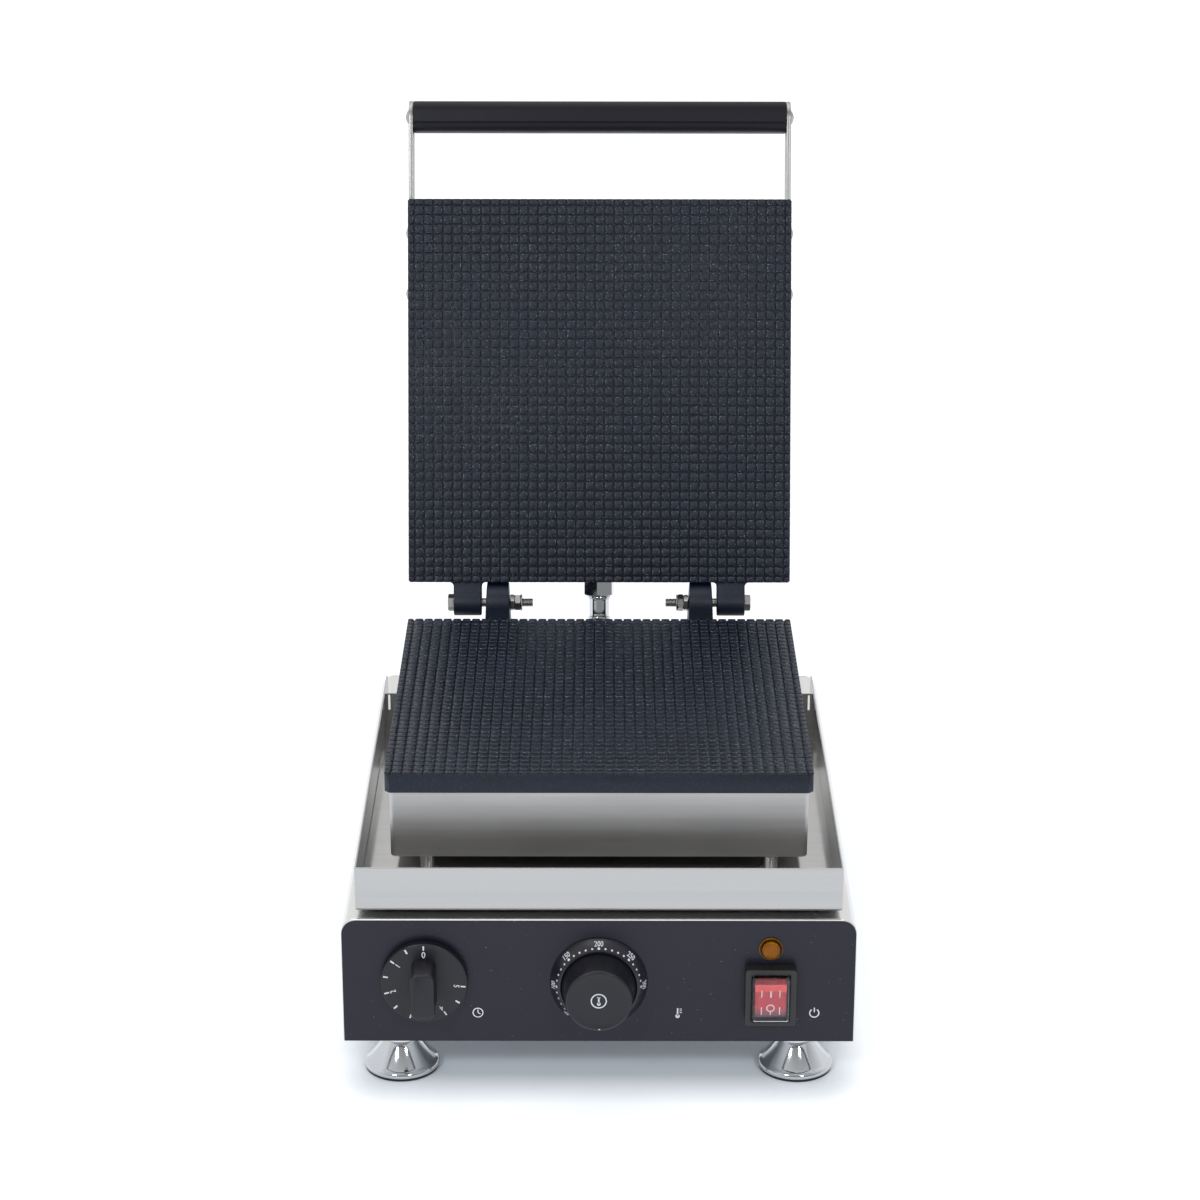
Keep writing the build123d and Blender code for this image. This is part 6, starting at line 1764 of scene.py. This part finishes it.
@dataclass
class ThermostatControl:
    """The fixed conical dial with its dots and numbers, and the tall knob inside it."""

    z: float = 75.0
    outer: float = 29.6
    inner: float = 22.9
    slope: float = 52.3
    cone_foot: Pair = (29.15, 2.0)
    cone_width: float = 4.4
    cone_rise: float = 5.7
    per_degree: float = 0.9
    upright_at: float = 200

    def dial(self) -> Mesh:
        """Returns the conical ring."""
        profile = [(self.inner, 0), (self.outer - 0.1, 0), (self.outer, 0.2), (self.outer, 1.1)]
        profile += [(self.outer - 0.25, 1.45), self.cone_foot, (24.75, 7.7), (24.4, 8.0), (23.3, 8.0)]
        profile.append((self.inner, 7.6))
        return Shell().lathe(profile, Facing.FRONT.at(0, 0, self.z), 120, True).mesh("dial", 25)

    def on_cone(self, mesh: Mesh, degrees: float, radius: float) -> Mesh:
        """Lays marks on the cone for a temperature, at a radius."""
        foot, low = self.cone_foot
        height = low + (foot - radius) / self.cone_width * self.cone_rise
        return wrapped(mesh, (degrees - self.upright_at) * self.per_degree, radius, height, self.slope)

    def marks(self) -> Mesh:
        """Returns the dots at every ten degrees and the numbers at every fifty."""
        shell = Shell()
        for degrees in range(50, 301, 10):
            size = 0.86 if degrees % 50 == 0 else 0.64
            shell.with_mesh(self.on_cone(Ink().disc((0, 0), size).mesh("dot"), degrees, 25.6))
            if degrees % 50 == 0:
                shell.with_mesh(self.on_cone(digits(str(degrees), 3.7, 0.74, 0.05), degrees, 27.6))
        return shell.turned(Facing.FRONT.at(0, 0, self.z)).mesh("dial_marks")

    def knob(self) -> Mesh:
        """Returns the knob: a straight foot, a slight taper, a rounded edge and a dished face."""
        profile = [(0, 4.0), (20.4, 4.0), (20.4, 0.8), (22.3, 0.8), (22.4, 1.0), (22.4, 8.0), (20.1, 24.2)]
        profile += arc((18.5, 24.4), 1.6, 5, 90, 8) + [(17.9, 26.0), (17.3, 25.75), (12.0, 25.45)]
        profile += [(5.0, 25.24), (0, 25.2)]
        return Shell().lathe(profile, Facing.FRONT.at(0, 0, self.z), 112).mesh("knob", 28)

    def sign(self) -> Mesh:
        """Returns the knob's marks: a ring with a small thermometer in it, and the pointer's dot."""
        ink = Ink().bow((0, 0), 4.5, 0.75)
        ink.disc((0, -1.9), 1.15).bar((0, -1.9), (0, 2.7), 0.95).bar((-1.0, 2.4), (1.0, 2.4), 0.7)
        mesh = ink.mesh("sign")
        mesh.transform(Facing.FRONT.at(0, -25.24, self.z))
        shell = Shell().with_mesh(mesh)
        dot = Ink().disc((0, 0), 0.6).mesh("pointer")
        dot.transform(Facing.FRONT.at(0.3, -25.95, self.z - 18.5))
        return shell.with_mesh(dot).mesh("knob_sign")

    def build(self) -> None:
        """Makes the thermostat's pieces."""
        show("dial", self.dial(), DIAL_BLACK, "base", ("thermostat_dial_ring",))
        show("dial_marks", self.marks(), DIAL_INK, "base")
        show("heat_knob", self.knob(), KNOB_BLACK, "thermostat", ("thermostat_knob",))
        show("heat_knob_sign", self.sign(), KNOB_INK, "thermostat")
        dress_nodes(ZINC, "thermostat_spindle")
        dress_nodes(BAKELITE, "thermostat_body")


@dataclass
class PilotLamp:
    """The amber lens with its barrel."""

    x: float = 104.0
    z: float = 97.5

    def turned(self, name: str, profile: list[Pair], looped: bool = False) -> Mesh:
        """Returns a part of the lamp turned about its axis."""
        return Shell().lathe(profile, Facing.FRONT.at(self.x, 0, self.z), 72, looped).mesh(name, 45)

    def build(self) -> None:
        """Makes the dark flange, a ring round it in a painted highlight colour, the domed boss and a ring at
        its shoulder painted as its edge highlight.
        """
        flange = [(0, 0.0), (6.85, 0.0), (6.88, 0.9), (6.6, 1.35), (6.1, 1.3), (5.6, 0.6), (0, 0.6)]
        show("lamp_flange", self.turned("flange", flange), AMBER_DEEP, "base")
        # A bright ring round the flange: a painted highlight.
        bead = [(6.85, 0.0), (7.1, 0.0), (7.2, 0.3), (7.2, 0.9), (7.12, 1.25), (7.0, 1.3), (6.88, 1.1)]
        show("lamp_bead", self.turned("bead", bead, True), AMBER_HIGHLIGHT, "base")
        boss = [(0, 0.5), (5.15, 0.5), (5.15, 2.9), (4.6, 3.85), (3.4, 4.15), (1.8, 4.2), (0, 4.2)]
        show("lamp_glass", self.turned("boss", boss), AMBER, "base", ("lamp_lens",))
        # A bright ring at the boss's shoulder: a painted highlight for the dome's edge.
        shoulder = [(5.1, 2.0), (5.35, 2.0), (5.4, 2.8), (5.3, 3.3), (5.1, 3.65), (4.95, 3.6), (5.0, 3.2)]
        shoulder.append((5.1, 2.8))
        show("lamp_shoulder", self.turned("shoulder", shoulder, True), AMBER_HIGHLIGHT, "base")
        dress_nodes(BAKELITE, "lamp_body")


@dataclass
class PowerSwitch:
    """The black frame, the red rocker with its marks, and the clear hood over it."""

    x: float = 104.0
    z: float = 68.2
    tilt: float = 10.0
    wide: float = 9.4

    def rocker(self) -> Mesh:
        """Returns the rocker: two faces that meet in a shallow valley, with its pivot pins."""
        outline = [(-6.62, -12.7), (-5.2, 0), (-6.3, 9.2), (-6.62, 10.2), (-6.0, 12.2), (-4.4, 13.2)]
        outline += [(-2.5, 13.4), (3.5, 10.55), (3.5, -10.55), (-2.5, -13.4), (-5.6, -13.25)]
        shell = Shell().prism(outline, -self.wide, self.wide, ACROSS).rounded(0.35, 2, 20)
        for side, facing in SIDES:
            shell.lathe([(0, -0.5), (1.5, -0.5), (1.5, 1.2), (0, 1.2)], facing.at(side * self.wide, 0, 0), 24)
        return shell.turned(self.seat()).mesh("rocker", 30)

    def seat(self) -> Matrix:
        """Returns the rocker's place, tilted to off."""
        return Matrix.Translation((self.x, -2.0, self.z)) @ Matrix.Rotation(radians(self.tilt), 4, "X")

    def marks(self) -> Mesh:
        """Returns the rocker's marks: I and O, each with a line at its sides."""
        shell = Shell()
        lean = atan2(1.42, 12.7)
        lower, upper = Ink(), Ink()
        for x in (-5.4, 5.4):
            upper.bar((x, 1.0), (x, 6.6), 0.62)
            lower.bar((x, -11.2), (x, -5.9), 0.62)
        upper.bar((0, 0.7), (0, 6.2), 0.95)
        lower.bow((0, -6.6), 2.2, 0.7).bar((0, -11.2), (0, -8.9), 0.6)
        for ink, turn, name in ((upper, atan2(1.1, 9.2), "upper"), (lower, -lean, "lower")):
            mesh = ink.mesh(name)
            mesh.transform(Matrix.Translation((0, -5.2, 0)) @ Matrix.Rotation(pi / 2 + turn, 4, "X"))
            shell.with_mesh(mesh)
        return shell.turned(self.seat()).mesh("rocker_marks")

    def hood(self) -> Mesh:
        """Returns the clear hood, a thin box that is open towards the panel."""
        place = Facing.FRONT.at(self.x, 0, self.z)
        rings = []
        for width, height, radius, level in (
            (20.6, 27.6, 1.2, 12.3), (22.3, 29.3, 1.8, 12.1), (23.3, 30.3, 2.0, 11.3),
            (23.7, 30.7, 2.0, 10.2), (23.7, 30.7, 2.0, 4.75), (22.0, 29.0, 1.2, 4.75),
            (22.0, 29.0, 1.2, 10.2), (21.6, 28.6, 1.2, 10.9), (20.6, 27.6, 1.0, 11.3),
        ):
            rings.append([place @ Vector((x, y, level)) for x, y in rounded_box(width, height, radius, 5)])
        return Shell().rings(rings).mesh("hood", 30)

    def build(self) -> None:
        """Makes the switch's pieces."""
        show("switch_bezel", softened("switch_frame", 0.3), SWITCH_BLACK, "base", ("switch_frame",))
        show("rocker", self.rocker(), ROCKER_RED, "rocker", ("switch_rocker",))
        show("rocker_marks", self.marks(), ROCKER_INK, "rocker")
        show("hood", self.hood(), CLEAR, "base", ("switch_hood",))


@dataclass
class MainsInlet:
    """The cable gland in the rear panel and the terminals inside."""

    def build(self) -> None:
        """Makes the inlet's pieces."""
        show("cable_gland", softened("mains_gland", 0.35), BUSH_BLACK, "base", ("mains_gland",))
        show("terminals", softened("terminal_block", 0.5), BAKELITE, "base", ("terminal_block",))


def main() -> None:
    """Builds the scene."""
    logging.basicConfig(level=logging.INFO, format="%(message)s")
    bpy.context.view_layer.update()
    bpy.context.scene.view_settings.view_transform = "Standard"
    studio = Studio()
    studio.camera()
    studio.floor()
    studio.lights()
    for part in (
        Feet(), Housing(), DripTray(), BakingPlates(), Casings(), Hinge(), Handle(), Conduit(),
        TimerControl(), ThermostatControl(), PilotLamp(), PowerSwitch(), MainsInlet(),
    ):
        part.build()


if __name__ == "__main__":
    main()
